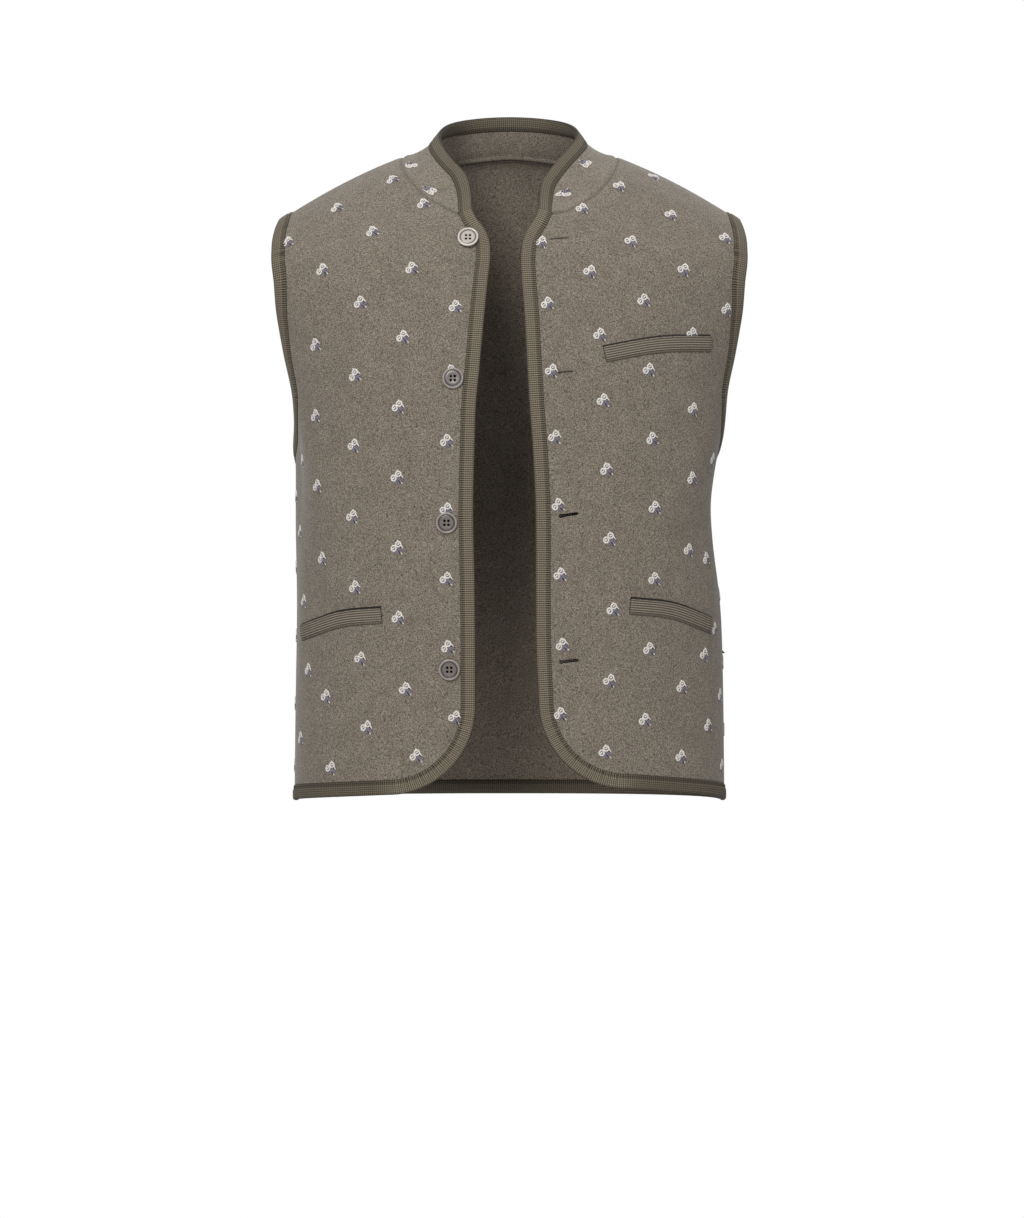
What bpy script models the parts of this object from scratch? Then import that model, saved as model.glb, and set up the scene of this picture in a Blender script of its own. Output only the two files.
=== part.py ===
"""Wool waistcoat, worn open: two fronts and a back in felted wool, a stand collar, knitted
edge tape, three welt pockets, four sewn buttons and their buttonholes.

Run with: blender --background --python part.py

Metres, +Z up. The fronts face -Y and the wearer's left is +X. The origin is half way between the
neck ends of the two shoulder seams, where the wearer's shoulders hold the garment up.
"""
import math
from collections import namedtuple

import bmesh
import bpy
import numpy as np
from mathutils import Matrix, Vector
from mathutils.geometry import delaunay_2d_cdt

# Cloth, tape and the gap left at each seam
WOOL_THICK = 0.0020
TAPE_THICK = 0.0015
TAPE_WIDTH = 0.0145
SEAM_GAP = 0.0003
TAPE_REACH = SEAM_GAP + TAPE_THICK
COLLAR_GAP = 0.0005

# Spacing of the points over a panel and along an edge
PANEL_STEP = 0.031
FILLER_ROW_STEP = 0.9 * PANEL_STEP
FILLER_CLEAR = 0.62 * PANEL_STEP
EDGE_STEP = 0.024
EDGE_TURN = math.radians(16.0)
SLOPE_STEP = 0.005

# Shape of a level section, and how its ends droop over the shoulder
ROUNDNESS = 2.6
DROOP_POWER = 1.8
SHOULDER_HALF = 0.226
NECK_HALF = 0.106

# Rows of the yoke, from the shoulder seam down to the underarm: the height and depth of the row at
# the garment's middle, how far it has dropped at the shoulder's end, its half width and its centre
YokeRow = namedtuple("YokeRow", "height droop depth width centre")
FRONT_YOKE = (
    YokeRow(0.0213, 0.0865, 0.000, 0.310, 0.000),
    YokeRow(0.0103, 0.0780, 0.033, 0.310, 0.000),
    YokeRow(-0.0103, 0.0700, 0.057, 0.320, -0.002),
    YokeRow(-0.0440, 0.0560, 0.080, 0.310, -0.003),
    YokeRow(-0.0920, 0.0400, 0.107, 0.268, -0.005),
    YokeRow(-0.1510, 0.0240, 0.125, 0.239, -0.007),
    YokeRow(-0.2220, 0.0100, 0.138, 0.220, -0.009),
)
BACK_YOKE = (
    YokeRow(0.0213, 0.0865, 0.000, 0.310, 0.000),
    YokeRow(0.0210, 0.0950, 0.030, 0.310, 0.000),
    YokeRow(0.0190, 0.1180, 0.056, 0.300, -0.002),
    YokeRow(0.0080, 0.1430, 0.084, 0.280, -0.003),
    YokeRow(-0.0160, 0.1490, 0.101, 0.258, -0.005),
    YokeRow(-0.0600, 0.1350, 0.113, 0.241, -0.006),
    YokeRow(-0.1250, 0.1000, 0.122, 0.230, -0.007),
    YokeRow(-0.2120, 0.0500, 0.130, 0.219, -0.009),
)

# Rows below the underarm, which the fronts and the back share at the side seams
BodyRow = namedtuple("BodyRow", "height width front_depth back_depth centre")
BODY = (
    BodyRow(-0.290, 0.2120, 0.140, 0.135, -0.010),
    BodyRow(-0.370, 0.2110, 0.138, 0.122, -0.012),
    BodyRow(-0.450, 0.2095, 0.136, 0.113, -0.012),
    BodyRow(-0.550, 0.2110, 0.130, 0.112, -0.012),
    BodyRow(-0.650, 0.2120, 0.130, 0.119, -0.012),
)

# Largest soft folds: side is -1 on the wearer's right, from_side is the share of the way from the
# side seam to the middle, and the spreads are half widths along the section and in height
Fold = namedtuple("Fold", "facing side from_side height depth spread spread_height")
FOLDS = (
    Fold(-1, 1, 0.00, -0.356, 0.018, 0.26, 0.062),
    Fold(1, 1, 0.00, -0.356, 0.018, 0.26, 0.062),
    Fold(1, 1, 0.48, -0.400, 0.007, 0.12, 0.120),
    Fold(1, -1, 0.42, -0.420, 0.008, 0.13, 0.130),
    Fold(-1, -1, 0.20, -0.330, 0.004, 0.09, 0.070),
)

# Finished outline, at the tape's outer edge, seen from the front
EdgeRow = namedtuple("EdgeRow", "height right left")
FRONT_EDGE = (
    EdgeRow(-0.0645, 0.0360, 0.0280),
    EdgeRow(-0.0750, 0.0310, 0.0235),
    EdgeRow(-0.0850, 0.0238, 0.0175),
    EdgeRow(-0.0970, 0.0189, 0.0125),
    EdgeRow(-0.1130, 0.0178, 0.0105),
    EdgeRow(-0.1350, 0.0200, 0.0113),
    EdgeRow(-0.1740, 0.0238, 0.0142),
    EdgeRow(-0.2230, 0.0281, 0.0168),
    EdgeRow(-0.2570, 0.0313, 0.0188),
    EdgeRow(-0.2910, 0.0325, 0.0214),
    EdgeRow(-0.3570, 0.0339, 0.0246),
    EdgeRow(-0.4250, 0.0326, 0.0248),
    EdgeRow(-0.4900, 0.0320, 0.0253),
    EdgeRow(-0.5440, 0.0320, 0.0275),
)
HEM_SIDE = -0.641
HEM_FRONT = {-1: -0.629, 1: -0.623}
CORNER_RADIUS = 0.085
UNDERARM = -0.290
UNDERARM_ANGLES = (30.0, 50.0, 68.0, 82.0, 90.0)

# Armhole edge from the shoulder down, before it rounds in to the underarm
ArmholeRow = namedtuple("ArmholeRow", "x height")
FRONT_ARMHOLE = (
    ArmholeRow(0.2260, -0.0652),
    ArmholeRow(0.2292, -0.0740),
    ArmholeRow(0.2318, -0.0880),
    ArmholeRow(0.2322, -0.1040),
    ArmholeRow(0.2290, -0.1330),
    ArmholeRow(0.2243, -0.1740),
    ArmholeRow(0.2190, -0.2030),
)
BACK_ARMHOLE = (
    ArmholeRow(0.2260, -0.0652),
    ArmholeRow(0.2272, -0.0760),
    ArmholeRow(0.2270, -0.0990),
    ArmholeRow(0.2260, -0.1330),
    ArmholeRow(0.2230, -0.1720),
)

# Neck seams: the front one from where it leaves the tape, the back one from the neck point
NeckRow = namedtuple("NeckRow", "x height")
FRONT_NECK = (
    NeckRow(0.0560, -0.0660),
    NeckRow(0.0700, -0.0575),
    NeckRow(0.0850, -0.0470),
    NeckRow(0.0990, -0.0300),
    NeckRow(0.1065, -0.0130),
    NeckRow(NECK_HALF, 0.0),
)
BACK_NECK_DEPTH = 0.080
BACK_NECK_POWER = 2.4

# Collar's outer edge from the top of the front edge round to the middle of the back
CollarRow = namedtuple("CollarRow", "right left y z")
COLLAR_EDGE = (
    CollarRow(0.0365, 0.0285, -0.0800, -0.0500),
    CollarRow(0.0390, 0.0310, -0.0680, -0.0347),
    CollarRow(0.0440, 0.0375, -0.0585, -0.0235),
    CollarRow(0.0530, 0.0450, -0.0490, -0.0130),
    CollarRow(0.0625, 0.0560, -0.0350, 0.0010),
    CollarRow(0.0685, 0.0650, -0.0130, 0.0160),
)
COLLAR_EDGE_BACK = (
    CollarRow(0.0665, 0.0655, 0.0110, 0.0280),
    CollarRow(0.0570, 0.0565, 0.0370, 0.0390),
    CollarRow(0.0340, 0.0340, 0.0590, 0.0470),
)
COLLAR_BACK = (0.0, 0.0670, 0.0500)
COLLAR_BOW = 0.0030
BOW_START = 0.015
BOW_RANGE = 0.030
COLLAR_TAPE_SHARE = 0.96
COLLAR_COLUMNS = 9
COLLAR_ROWS = 3

# Welts, by their middle line seen from the front
Welt = namedtuple("Welt", "node start_x start_z middle_x middle_z end_x end_z")
WELTS = (
    Welt("welt_chest", 0.0905, -0.2085, 0.1420, -0.1985, 0.1940, -0.1945),
    Welt("welt_hip_right", -0.1215, -0.4570, -0.1620, -0.4610, -0.2020, -0.4745),
    Welt("welt_hip_left", 0.1145, -0.4480, 0.1570, -0.4530, 0.1955, -0.4675),
)
WELT_WIDTH = 0.0155
WELT_THICK = 0.0020
WELT_COLUMNS = 6

# Buttons on the wearer's right front; the top one lies partly on the tape
Seat = namedtuple("Seat", "x z on_tape")
BUTTON_SEATS = (
    Seat(-0.0396, -0.0951, True),
    Seat(-0.0536, -0.2316, False),
    Seat(-0.0596, -0.3691, False),
    Seat(-0.0570, -0.5087, False),
)
BUTTON_RADIUS = 0.0101
BUTTON_SIDES = 20
BUTTON_HOLE_RADIUS = 0.0011
BUTTON_HOLE_PLACE = 0.0019
BUTTON_HOLE_SIDES = 6
# Radius as a share of the button's, and height over its back
RimPoint = namedtuple("RimPoint", "share height")
BUTTON_PROFILE = (
    RimPoint(0.00, 0.0),
    RimPoint(0.86, 0.0),
    RimPoint(1.00, 0.0011),
    RimPoint(0.97, 0.0023),
    RimPoint(0.88, 0.0027),
    RimPoint(0.76, 0.0020),
    RimPoint(0.52, 0.0018),
    RimPoint(0.00, 0.0017),
)

# Keyhole buttonholes on the wearer's left front, from the eye to the far end
Slit = namedtuple("Slit", "eye_x eye_z end_x end_z")
BUTTONHOLES = (
    Slit(0.0400, -0.0955, 0.0565, -0.0940),
    Slit(0.0430, -0.2265, 0.0600, -0.2250),
    Slit(0.0490, -0.3625, 0.0650, -0.3600),
    Slit(0.0495, -0.5015, 0.0655, -0.4995),
)
EYE_RADIUS = 0.0014
SLIT_HALF = 0.0004
EYE_SIDES = 5

# Colours, as linear red, green and blue
WOOL_COLOUR = (0.222, 0.195, 0.160)
WELT_COLOUR = (0.160, 0.138, 0.110)
TAPE_COLOUR = (0.160, 0.135, 0.103)
BUTTON_COLOUR = (0.210, 0.180, 0.155)


def section_table(samples=4001):
    """Distance along a quarter of the unit section, and its x and y, from the middle to the side."""
    angle = np.linspace(0.0, math.pi / 2.0, samples)
    x = np.sin(angle) ** (2.0 / ROUNDNESS)
    y = np.cos(angle) ** (2.0 / ROUNDNESS)
    y[-1] = 0.0
    along = np.concatenate([[0.0], np.cumsum(np.hypot(np.diff(x), np.diff(y)))])
    return along / along[-1], x, y, along[-1]


ALONG, UNIT_X, UNIT_Y, UNIT_LENGTH = section_table()


def smooth_curve(points, per_span=12):
    """Points close together on a smooth curve through the given ones."""
    points = np.asarray(points, dtype=float)
    reach = np.concatenate([[0.0], np.cumsum(np.linalg.norm(np.diff(points, axis=0), axis=1))])
    slopes = np.gradient(points, reach, axis=0)
    curve = []
    for i in range(len(points) - 1):
        span = reach[i + 1] - reach[i]
        for t in np.linspace(0.0, 1.0, per_span, endpoint=False):
            rise = t * t * (3.0 - 2.0 * t)
            leave = t * (1.0 - t) ** 2 * span
            arrive = t * t * (t - 1.0) * span
            curve.append(points[i] + rise * (points[i + 1] - points[i])
                         + leave * slopes[i] + arrive * slopes[i + 1])
    curve.append(points[-1])
    return np.array(curve)


def unit(vectors):
    return vectors / np.linalg.norm(vectors, axis=-1, keepdims=True)


class Half:
    """The front or the back of the garment as one smooth surface through its table of rows.

    A place on it is a turn, from 0 in the middle to 1 at the wearer's left side seam and -1 at the
    right one, and a level, the row's number counted down from the shoulder seam.
    """

    def __init__(self, yoke, other_yoke, facing):
        self.facing = facing
        rows = [(row.height, row.droop, row.depth, row.width, row.centre) for row in yoke]
        for row in BODY:
            depth = row.front_depth if facing < 0 else row.back_depth
            rows.append((row.height, 0.0, depth, row.width, row.centre))
        rows = np.array(rows)
        self.last = len(rows) - 1
        over = other_yoke[1]
        behind = (over.height, over.droop, -over.depth, over.width, over.centre)
        self.padded = np.vstack([behind, rows, 2.0 * rows[-1] - rows[-2]])
        steps = np.hypot(np.diff(rows[:, 0]), np.diff(rows[:, 2]))
        self.descent = np.concatenate([[0.0], np.cumsum(steps)])

    def row(self, level):
        """The row's values at a level, on a smooth curve through the table."""
        level = np.asarray(level, dtype=float)
        index = np.clip(np.floor(level).astype(int), 0, self.last - 1)
        t = (level - index)[..., None]
        before, start, end, after = (self.padded[index + k] for k in range(4))
        return 0.5 * (2.0 * start + (end - before) * t
                      + (2.0 * before - 5.0 * start + 4.0 * end - after) * t ** 2
                      + (3.0 * start - before - 3.0 * end + after) * t ** 3)

    def point(self, places):
        """Points in space at places, an array of turns and levels."""
        turn, level = np.moveaxis(np.asarray(places, dtype=float), -1, 0)
        height, droop, depth, width, centre = np.moveaxis(self.row(level), -1, 0)
        along = np.abs(turn)
        x = width * np.interp(along, ALONG, UNIT_X)
        y = self.facing * depth * np.interp(along, ALONG, UNIT_Y)
        z = height - droop * (x / SHOULDER_HALF) ** DROOP_POWER
        pull = np.zeros_like(x)
        for fold in FOLDS:
            if fold.facing == self.facing:
                across = (1.0 - along - fold.from_side) / fold.spread
                up = (z - fold.height) / fold.spread_height
                on_side = (np.sign(turn) == fold.side)
                pull += on_side * fold.depth / width * np.exp(-across ** 2 - up ** 2)
        x = np.sign(turn) * x * (1.0 - pull)
        return np.stack([x, centre + y * (1.0 - pull), z], axis=-1)

    def frame(self, places):
        """Change of the point with the turn and with the level, and the outward normal."""
        places = np.asarray(places, dtype=float)
        by_turn = np.array([SLOPE_STEP, 0.0])
        by_level = np.array([0.0, SLOPE_STEP])
        turn_slope = self.point(places + by_turn) - self.point(places - by_turn)
        level_slope = self.point(places + by_level) - self.point(places - by_level)
        turn_slope /= 2.0 * SLOPE_STEP
        level_slope /= 2.0 * SLOPE_STEP
        normal = unit(self.facing * np.cross(turn_slope, level_slope))
        return turn_slope, level_slope, normal

    def locate(self, x, z):
        """The place seen from the front at x and z."""
        low, high = 0.0, float(self.last)
        for _ in range(40):
            middle = 0.5 * (low + high)
            height, droop, _, width, _ = self.row(middle)
            if height - droop * (abs(x) / SHOULDER_HALF) ** DROOP_POWER > z:
                low = middle
            else:
                high = middle
        width = self.row(low)[3]
        return math.copysign(np.interp(abs(x) / width, UNIT_X, ALONG), x), low

    def locate_all(self, outline):
        return np.array([self.locate(x, z) for x, z in outline])

    def spread(self, places):
        """Places laid out flat at about their true distances, x to the wearer's left and y up."""
        turn, level = np.moveaxis(np.asarray(places, dtype=float), -1, 0)
        descent = np.interp(level, np.arange(self.last + 1), self.descent)
        return np.stack([turn * self.row(level)[..., 3] * UNIT_LENGTH, -descent], axis=-1)

    def gather(self, flat):
        """The places of points laid out flat by spread."""
        x, y = np.moveaxis(np.asarray(flat, dtype=float), -1, 0)
        level = np.interp(-y, self.descent, np.arange(self.last + 1))
        return np.stack([x / (self.row(level)[..., 3] * UNIT_LENGTH), level], axis=-1)

    def stations(self, places):
        """Places along a finely divided line, closer together where it bends."""
        points = self.point(places)
        steps = np.diff(points, axis=0)
        lengths = np.linalg.norm(steps, axis=1)
        heading = unit(steps)
        bend = np.arccos(np.clip(np.sum(heading[1:] * heading[:-1], axis=1), -1.0, 1.0))
        cost = lengths / EDGE_STEP
        cost[1:] += bend / EDGE_TURN
        reach = np.concatenate([[0.0], np.cumsum(cost)])
        marks = np.linspace(0.0, reach[-1], math.ceil(reach[-1]) + 1)
        return np.stack([np.interp(marks, reach, places[:, k]) for k in range(2)], axis=-1)

    def inset(self, places, distance, towards, keep_start=None, keep_end=None):
        """The line moved in over the cloth by a distance, towards a place inside the panel.

        At either end one part of the place, 0 for the turn and 1 for the level, may be kept, so
        that the line still ends on its seam.
        """
        points = self.point(places)
        turn_slope, level_slope, normal = self.frame(places)
        way = unit(np.cross(normal, unit(np.gradient(points, axis=0))))
        if np.sum(way * (self.point(towards) - points)) < 0.0:
            way = -way
        moved = places.copy()
        for i, step in enumerate(way * distance):
            slopes = np.stack([turn_slope[i], level_slope[i]], axis=1)
            moved[i] += np.linalg.lstsq(slopes, step, rcond=None)[0]
        if keep_start is not None:
            moved[0, keep_start] = places[0, keep_start]
        if keep_end is not None:
            moved[-1, keep_end] = places[-1, keep_end]
        return moved


FRONT = Half(FRONT_YOKE, BACK_YOKE, -1)
BACK = Half(BACK_YOKE, FRONT_YOKE, 1)

# Places half a gap away from the side and shoulder seams
SIDE_TURN = 1.0 - 0.5 * SEAM_GAP / (UNIT_LENGTH * min(row.back_depth for row in BODY))
SHOULDER_SLOPE = FRONT.frame((0.0, 0.0))[1]
SHOULDER_LEVEL = 0.5 * SEAM_GAP / float(np.linalg.norm(SHOULDER_SLOPE))

# Places well inside each panel
FRONT_MIDDLE = (0.6, 7.0)
BACK_MIDDLE = (0.0, 8.0)

Band = namedtuple("Band", "half mark edge inner")


def material(name, colour, roughness):
    finish = bpy.data.materials.new(name)
    finish.use_nodes = True
    shader = finish.node_tree.nodes["Principled BSDF"]
    shader.inputs["Base Color"].default_value = (*colour, 1.0)
    shader.inputs["Roughness"].default_value = roughness
    shader.inputs["Metallic"].default_value = 0.0
    return finish


def add_object(name, shape, finish):
    """Turn a finished bmesh into an object with its faces outward and its round parts smooth."""
    bmesh.ops.recalc_face_normals(shape, faces=shape.faces)
    mesh = bpy.data.meshes.new(name)
    shape.to_mesh(mesh)
    shape.free()
    mesh.materials.append(finish)
    mesh.shade_smooth()
    mesh.set_sharp_from_angle(angle=math.radians(40.0))
    piece = bpy.data.objects.new(name, mesh)
    bpy.context.scene.collection.objects.link(piece)
    return piece


def wall(name, points, normals, triangles, low, high, finish):
    """A closed wall over a triangulated surface, from low to high out along its normals."""
    shape = bmesh.new()
    outer = [shape.verts.new(p) for p in points + normals * high]
    inner = [shape.verts.new(p) for p in points + normals * low]
    sides = set()
    for a, b, c in triangles:
        shape.faces.new((outer[a], outer[b], outer[c]))
        shape.faces.new((inner[c], inner[b], inner[a]))
        sides.update(((a, b), (b, c), (c, a)))
    for a, b in sides:
        if (b, a) not in sides:
            shape.faces.new((outer[b], outer[a], inner[a], inner[b]))
    return add_object(name, shape, finish)


def sweep_tape(name, sections, closed, finish):
    """A closed body through the tape's sections, its faces split as the cloth's are below it."""
    shape = bmesh.new()
    rings = [[shape.verts.new(p) for p in section] for section in sections]
    spans = len(rings) if closed else len(rings) - 1
    for i in range(spans):
        near, far = rings[i], rings[(i + 1) % len(rings)]
        for k in range(len(near)):
            m = (k + 1) % len(near)
            if TAPE_REACHES[m] >= TAPE_REACHES[k]:
                shape.faces.new((near[k], near[m], far[k]))
                shape.faces.new((near[m], far[m], far[k]))
            else:
                shape.faces.new((near[k], near[m], far[m]))
                shape.faces.new((near[k], far[m], far[k]))
    if not closed:
        for ring, step in ((rings[0], -1), (rings[-1], 1)):
            for corners in TAPE_END_FACES:
                shape.faces.new([ring[k] for k in corners[::step]])
    return add_object(name, shape, finish)


# Whether each point of the tape's section is at the cloth's edge, 1, or at the sewn edge, 0, and
# the faces that close its end
TAPE_REACHES = (0, 1, 1, 0, 0, 1, 1, 1, 1, 0)
TAPE_END_FACES = ((2, 3, 4), (2, 4, 5), (2, 5, 6), (2, 6, 7), (1, 2, 7), (1, 7, 8), (0, 1, 8),
                  (0, 8, 9))


def tape_section(edge, inner, edge_normal, inner_normal):
    """The folded tape's section, round a cloth edge and back to the tape's sewn edges."""
    clear = 0.5 * WOOL_THICK + SEAM_GAP
    outside = clear + TAPE_THICK
    thin = clear + 0.6 * TAPE_THICK
    past = edge - inner
    past = unit(past - np.dot(past, edge_normal) * edge_normal)
    fold_in = edge + past * SEAM_GAP
    fold_out = edge + past * (SEAM_GAP + TAPE_THICK)
    return [
        inner + inner_normal * clear,
        fold_in + edge_normal * clear,
        fold_in - edge_normal * clear,
        inner - inner_normal * clear,
        inner - inner_normal * thin,
        edge - edge_normal * outside,
        fold_out - edge_normal * 0.5 * clear,
        fold_out + edge_normal * 0.5 * clear,
        edge + edge_normal * outside,
        inner + inner_normal * thin,
    ]


def band_sections(band):
    """Tape sections along a taped edge of a panel."""
    edge_normals = band.half.frame(band.edge)[2]
    inner_normals = band.half.frame(band.inner)[2]
    rows = zip(band.half.point(band.edge), band.half.point(band.inner), edge_normals, inner_normals)
    return [tape_section(*row) for row in rows]


def make_band(half, outline, towards, keep_start=None, keep_end=None):
    """The cloth's cut edge and the tape's sewn edge, set in from the finished outline."""
    marks = half.stations(outline)
    edge = half.inset(marks, TAPE_REACH, towards, keep_start, keep_end)
    inner = half.inset(marks, TAPE_WIDTH, towards, keep_start, keep_end)
    return Band(half, marks, edge, inner)


def front_band(side):
    """Hem, rounded corner and front edge of one front, up to the collar."""
    column = "right" if side < 0 else "left"
    rows = [(side * getattr(row, column), row.height) for row in FRONT_EDGE[:-1]]
    corner_x = getattr(FRONT_EDGE[-1], column) + CORNER_RADIUS
    corner_z = HEM_FRONT[side] + CORNER_RADIUS
    arc = []
    for angle in np.linspace(0.0, 0.5 * math.pi, 13):
        arc.append((side * (corner_x - CORNER_RADIUS * math.cos(angle)),
                    corner_z - CORNER_RADIUS * math.sin(angle)))
    edge = FRONT.locate_all(smooth_curve(rows + arc[:1]))
    corner = FRONT.locate_all(arc)
    start = np.array(FRONT.locate(0.0, HEM_SIDE)[1])
    turns = np.linspace(corner[-1][0], side * SIDE_TURN, 20)
    levels = np.linspace(corner[-1][1], start, 20)
    hem = np.stack([turns, levels], axis=-1)
    outline = np.vstack([hem[::-1], corner[-2::-1], edge[-2::-1]])
    towards = (side * FRONT_MIDDLE[0], FRONT_MIDDLE[1])
    return make_band(FRONT, outline, towards, keep_start=0)


def armhole_outline(half, rows, side):
    """Armhole edge from the shoulder seam to the side seam, rounded at the underarm."""
    upper = [half.locate(side * row.x, row.height) for row in rows]
    upper[0] = (upper[0][0], SHOULDER_LEVEL)
    turn, level = upper[-1]
    bottom = half.locate(0.0, UNDERARM)[1]
    for angle in np.radians(UNDERARM_ANGLES):
        upper.append((turn + (side * SIDE_TURN - turn) * (1.0 - math.cos(angle)),
                      level + (bottom - level) * math.sin(angle)))
    scale = half.spread(np.array(upper))
    return half.gather(smooth_curve(scale))


def armhole_band(half, rows, side):
    """Armhole tape, down the front and up the back, so that one follows the other round."""
    outline = armhole_outline(half, rows, side)
    outline[0, 1] = SHOULDER_LEVEL
    outline[-1, 0] = side * SIDE_TURN
    if half is FRONT:
        towards = (side * FRONT_MIDDLE[0], FRONT_MIDDLE[1])
        return make_band(half, outline, towards, keep_start=1, keep_end=0)
    return make_band(half, outline[::-1], BACK_MIDDLE, keep_start=0, keep_end=1)


def front_neck(side, band):
    """Front neck seam from the top of the front edge to the neck point."""
    rows = [(side * row.x, row.height) for row in FRONT_NECK]
    neck = FRONT.locate_all(rows)
    neck[-1, 1] = SHOULDER_LEVEL
    inner_end = FRONT.spread(band.inner[-1:])
    curve = smooth_curve(np.vstack([inner_end, FRONT.spread(neck)]))
    return FRONT.gather(curve)


def back_neck(side):
    """Back neck seam from the neck point to the middle of the back."""
    turn, level = [], []
    for share in np.linspace(0.0, 1.0, 25):
        angle = 0.5 * math.pi * share
        x = NECK_HALF * math.cos(angle) ** (2.0 / BACK_NECK_POWER)
        depth = BACK_NECK_DEPTH * math.sin(angle) ** (2.0 / BACK_NECK_POWER)
        level.append(back_level(x, depth))
        turn.append(side * np.interp(x / BACK.row(level[-1])[3], UNIT_X, ALONG))
    level[0] = SHOULDER_LEVEL
    return np.array([turn, level]).T


def back_level(x, y):
    """Level of the back's upper surface at x and y."""
    levels = np.linspace(0.0, 5.0, 501)
    rows = BACK.row(levels)
    share = np.interp(np.interp(x / rows[:, 3], UNIT_X, ALONG), ALONG, UNIT_Y)
    return float(np.interp(y, rows[:, 4] + rows[:, 2] * share, levels))


def divide(points, along, count):
    """Rows of a table at even distances along a line of points in space."""
    reach = np.concatenate([[0.0], np.cumsum(np.linalg.norm(np.diff(points, axis=0), axis=1))])
    marks = np.linspace(0.0, reach[-1], count + 1)
    return np.stack([np.interp(marks, reach, column) for column in along.T], axis=-1)


def seam(half, start, end):
    """A straight seam on the panel's layout between two places."""
    line = np.linspace(start, end, 60)
    points = half.point(line)
    length = np.sum(np.linalg.norm(np.diff(points, axis=0), axis=1))
    return divide(points, line, math.ceil(length / PANEL_STEP))


def neck_seam(half, line):
    """A neck seam's places at the collar's columns."""
    return divide(half.point(line), line, COLLAR_COLUMNS)


def inside(loop, points):
    """Which flat points lie inside a closed flat loop."""
    found = np.zeros(len(points), dtype=bool)
    following = np.roll(loop, -1, axis=0)
    for (ax, ay), (bx, by) in zip(loop, following):
        spans = (ay > points[:, 1]) != (by > points[:, 1])
        if ay != by:
            cross = ax + (points[:, 1] - ay) * (bx - ax) / (by - ay)
            found ^= spans & (points[:, 0] < cross)
    return found


def filler(loop, taken):
    """Points in even rows inside a loop, clear of those already taken."""
    low, high = loop.min(axis=0), loop.max(axis=0)
    rows = np.arange(low[1] + 0.5 * PANEL_STEP, high[1], FILLER_ROW_STEP)
    points = []
    for index, y in enumerate(rows):
        shift = 0.5 * PANEL_STEP * (index % 2)
        for x in np.arange(low[0] + shift, high[0], PANEL_STEP):
            points.append((x, y))
    points = np.array(points)
    points = points[inside(loop, points)]
    gaps = np.linalg.norm(points[:, None, :] - taken[None, :, :], axis=2).min(axis=1)
    return points[gaps > FILLER_CLEAR]


def cloth_panel(name, half, parts, bands, grids, slits, finish):
    """One cut piece of cloth.

    parts are lines of places that run round the piece, bands its taped edges, grids the places
    under what lies on it, and slits the closed outlines that are cut through it.
    """
    flat = []
    edges = []

    def add(line, closed=False):
        first = len(flat)
        flat.extend(half.spread(line))
        last = len(flat) - 1
        edges.extend((i, i + 1) for i in range(first, last))
        if closed:
            edges.append((last, first))
        return first

    loop = [half.spread(part[:-1]) for part in parts]
    loop = np.vstack(loop)
    flat.extend(loop)
    edges.extend((i, (i + 1) % len(loop)) for i in range(len(loop)))
    for band in bands:
        first = add(band.inner)
        last = first + len(band.inner) - 1
        for i, place in enumerate(half.spread(band.edge)):
            nearest = int(np.argmin(np.linalg.norm(loop - place, axis=1)))
            edges.append((nearest, first + i))
            edges.append((nearest, min(first + i + 1, last)))
    for lower, upper in grids:
        add(lower)
        add(upper)
        for k in range(len(lower)):
            add(np.stack([lower[k], upper[k]]))
            add(np.stack([lower[k], upper[min(k + 1, len(lower) - 1)]]))
    for slit in slits:
        add(slit, closed=True)
    flat.extend(filler(loop, np.array(flat)))
    flat, places_of = np.unique(np.round(flat, 7), axis=0, return_inverse=True)
    places_of = places_of.ravel()
    edges = {(places_of[a], places_of[b]) for a, b in edges if places_of[a] != places_of[b]}
    ring = [int(places_of[i]) for i in range(len(loop))]
    corners, _, faces, _, _, _ = delaunay_2d_cdt(
        [Vector(p) for p in flat], [tuple(map(int, e)) for e in edges], [ring], 1, 1e-7)
    corners = np.array([tuple(c) for c in corners])
    faces = [face if half.facing < 0 else face[::-1] for face in faces]
    for slit in slits:
        middles = np.array([corners[list(face)].mean(axis=0) for face in faces])
        hidden = inside(half.spread(slit), middles)
        faces = [face for face, gone in zip(faces, hidden) if not gone]
    places = half.gather(corners)
    half_thick = 0.5 * WOOL_THICK
    return wall(name, half.point(places), half.frame(places)[2], faces, -half_thick, half_thick,
                finish)


def welt_grid(welt):
    """Places of a welt's corners, in rows from its lower to its upper edge."""
    middle = smooth_curve(((welt.start_x, welt.start_z), (welt.middle_x, welt.middle_z),
                           (welt.end_x, welt.end_z)))
    line = FRONT.locate_all(middle)
    spaced = divide(FRONT.point(line), line, WELT_COLUMNS)
    lower = FRONT.inset(spaced, 0.5 * WELT_WIDTH, (spaced[0][0], FRONT.last))
    upper = FRONT.inset(spaced, 0.5 * WELT_WIDTH, (spaced[0][0], 0.0))
    return np.stack([lower, upper])


def make_welt(name, grid, finish):
    rows, columns = grid.shape[:2]
    triangles = []
    for r in range(rows - 1):
        for c in range(columns - 1):
            a, b = r * columns + c, r * columns + c + 1
            d, e = a + columns, b + columns
            triangles += [(a, b, e), (a, e, d)]
    places = grid.reshape(-1, 2)
    low = 0.5 * WOOL_THICK + SEAM_GAP
    wall(name, FRONT.point(places), FRONT.frame(places)[2], triangles, low, low + WELT_THICK,
         finish)


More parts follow.
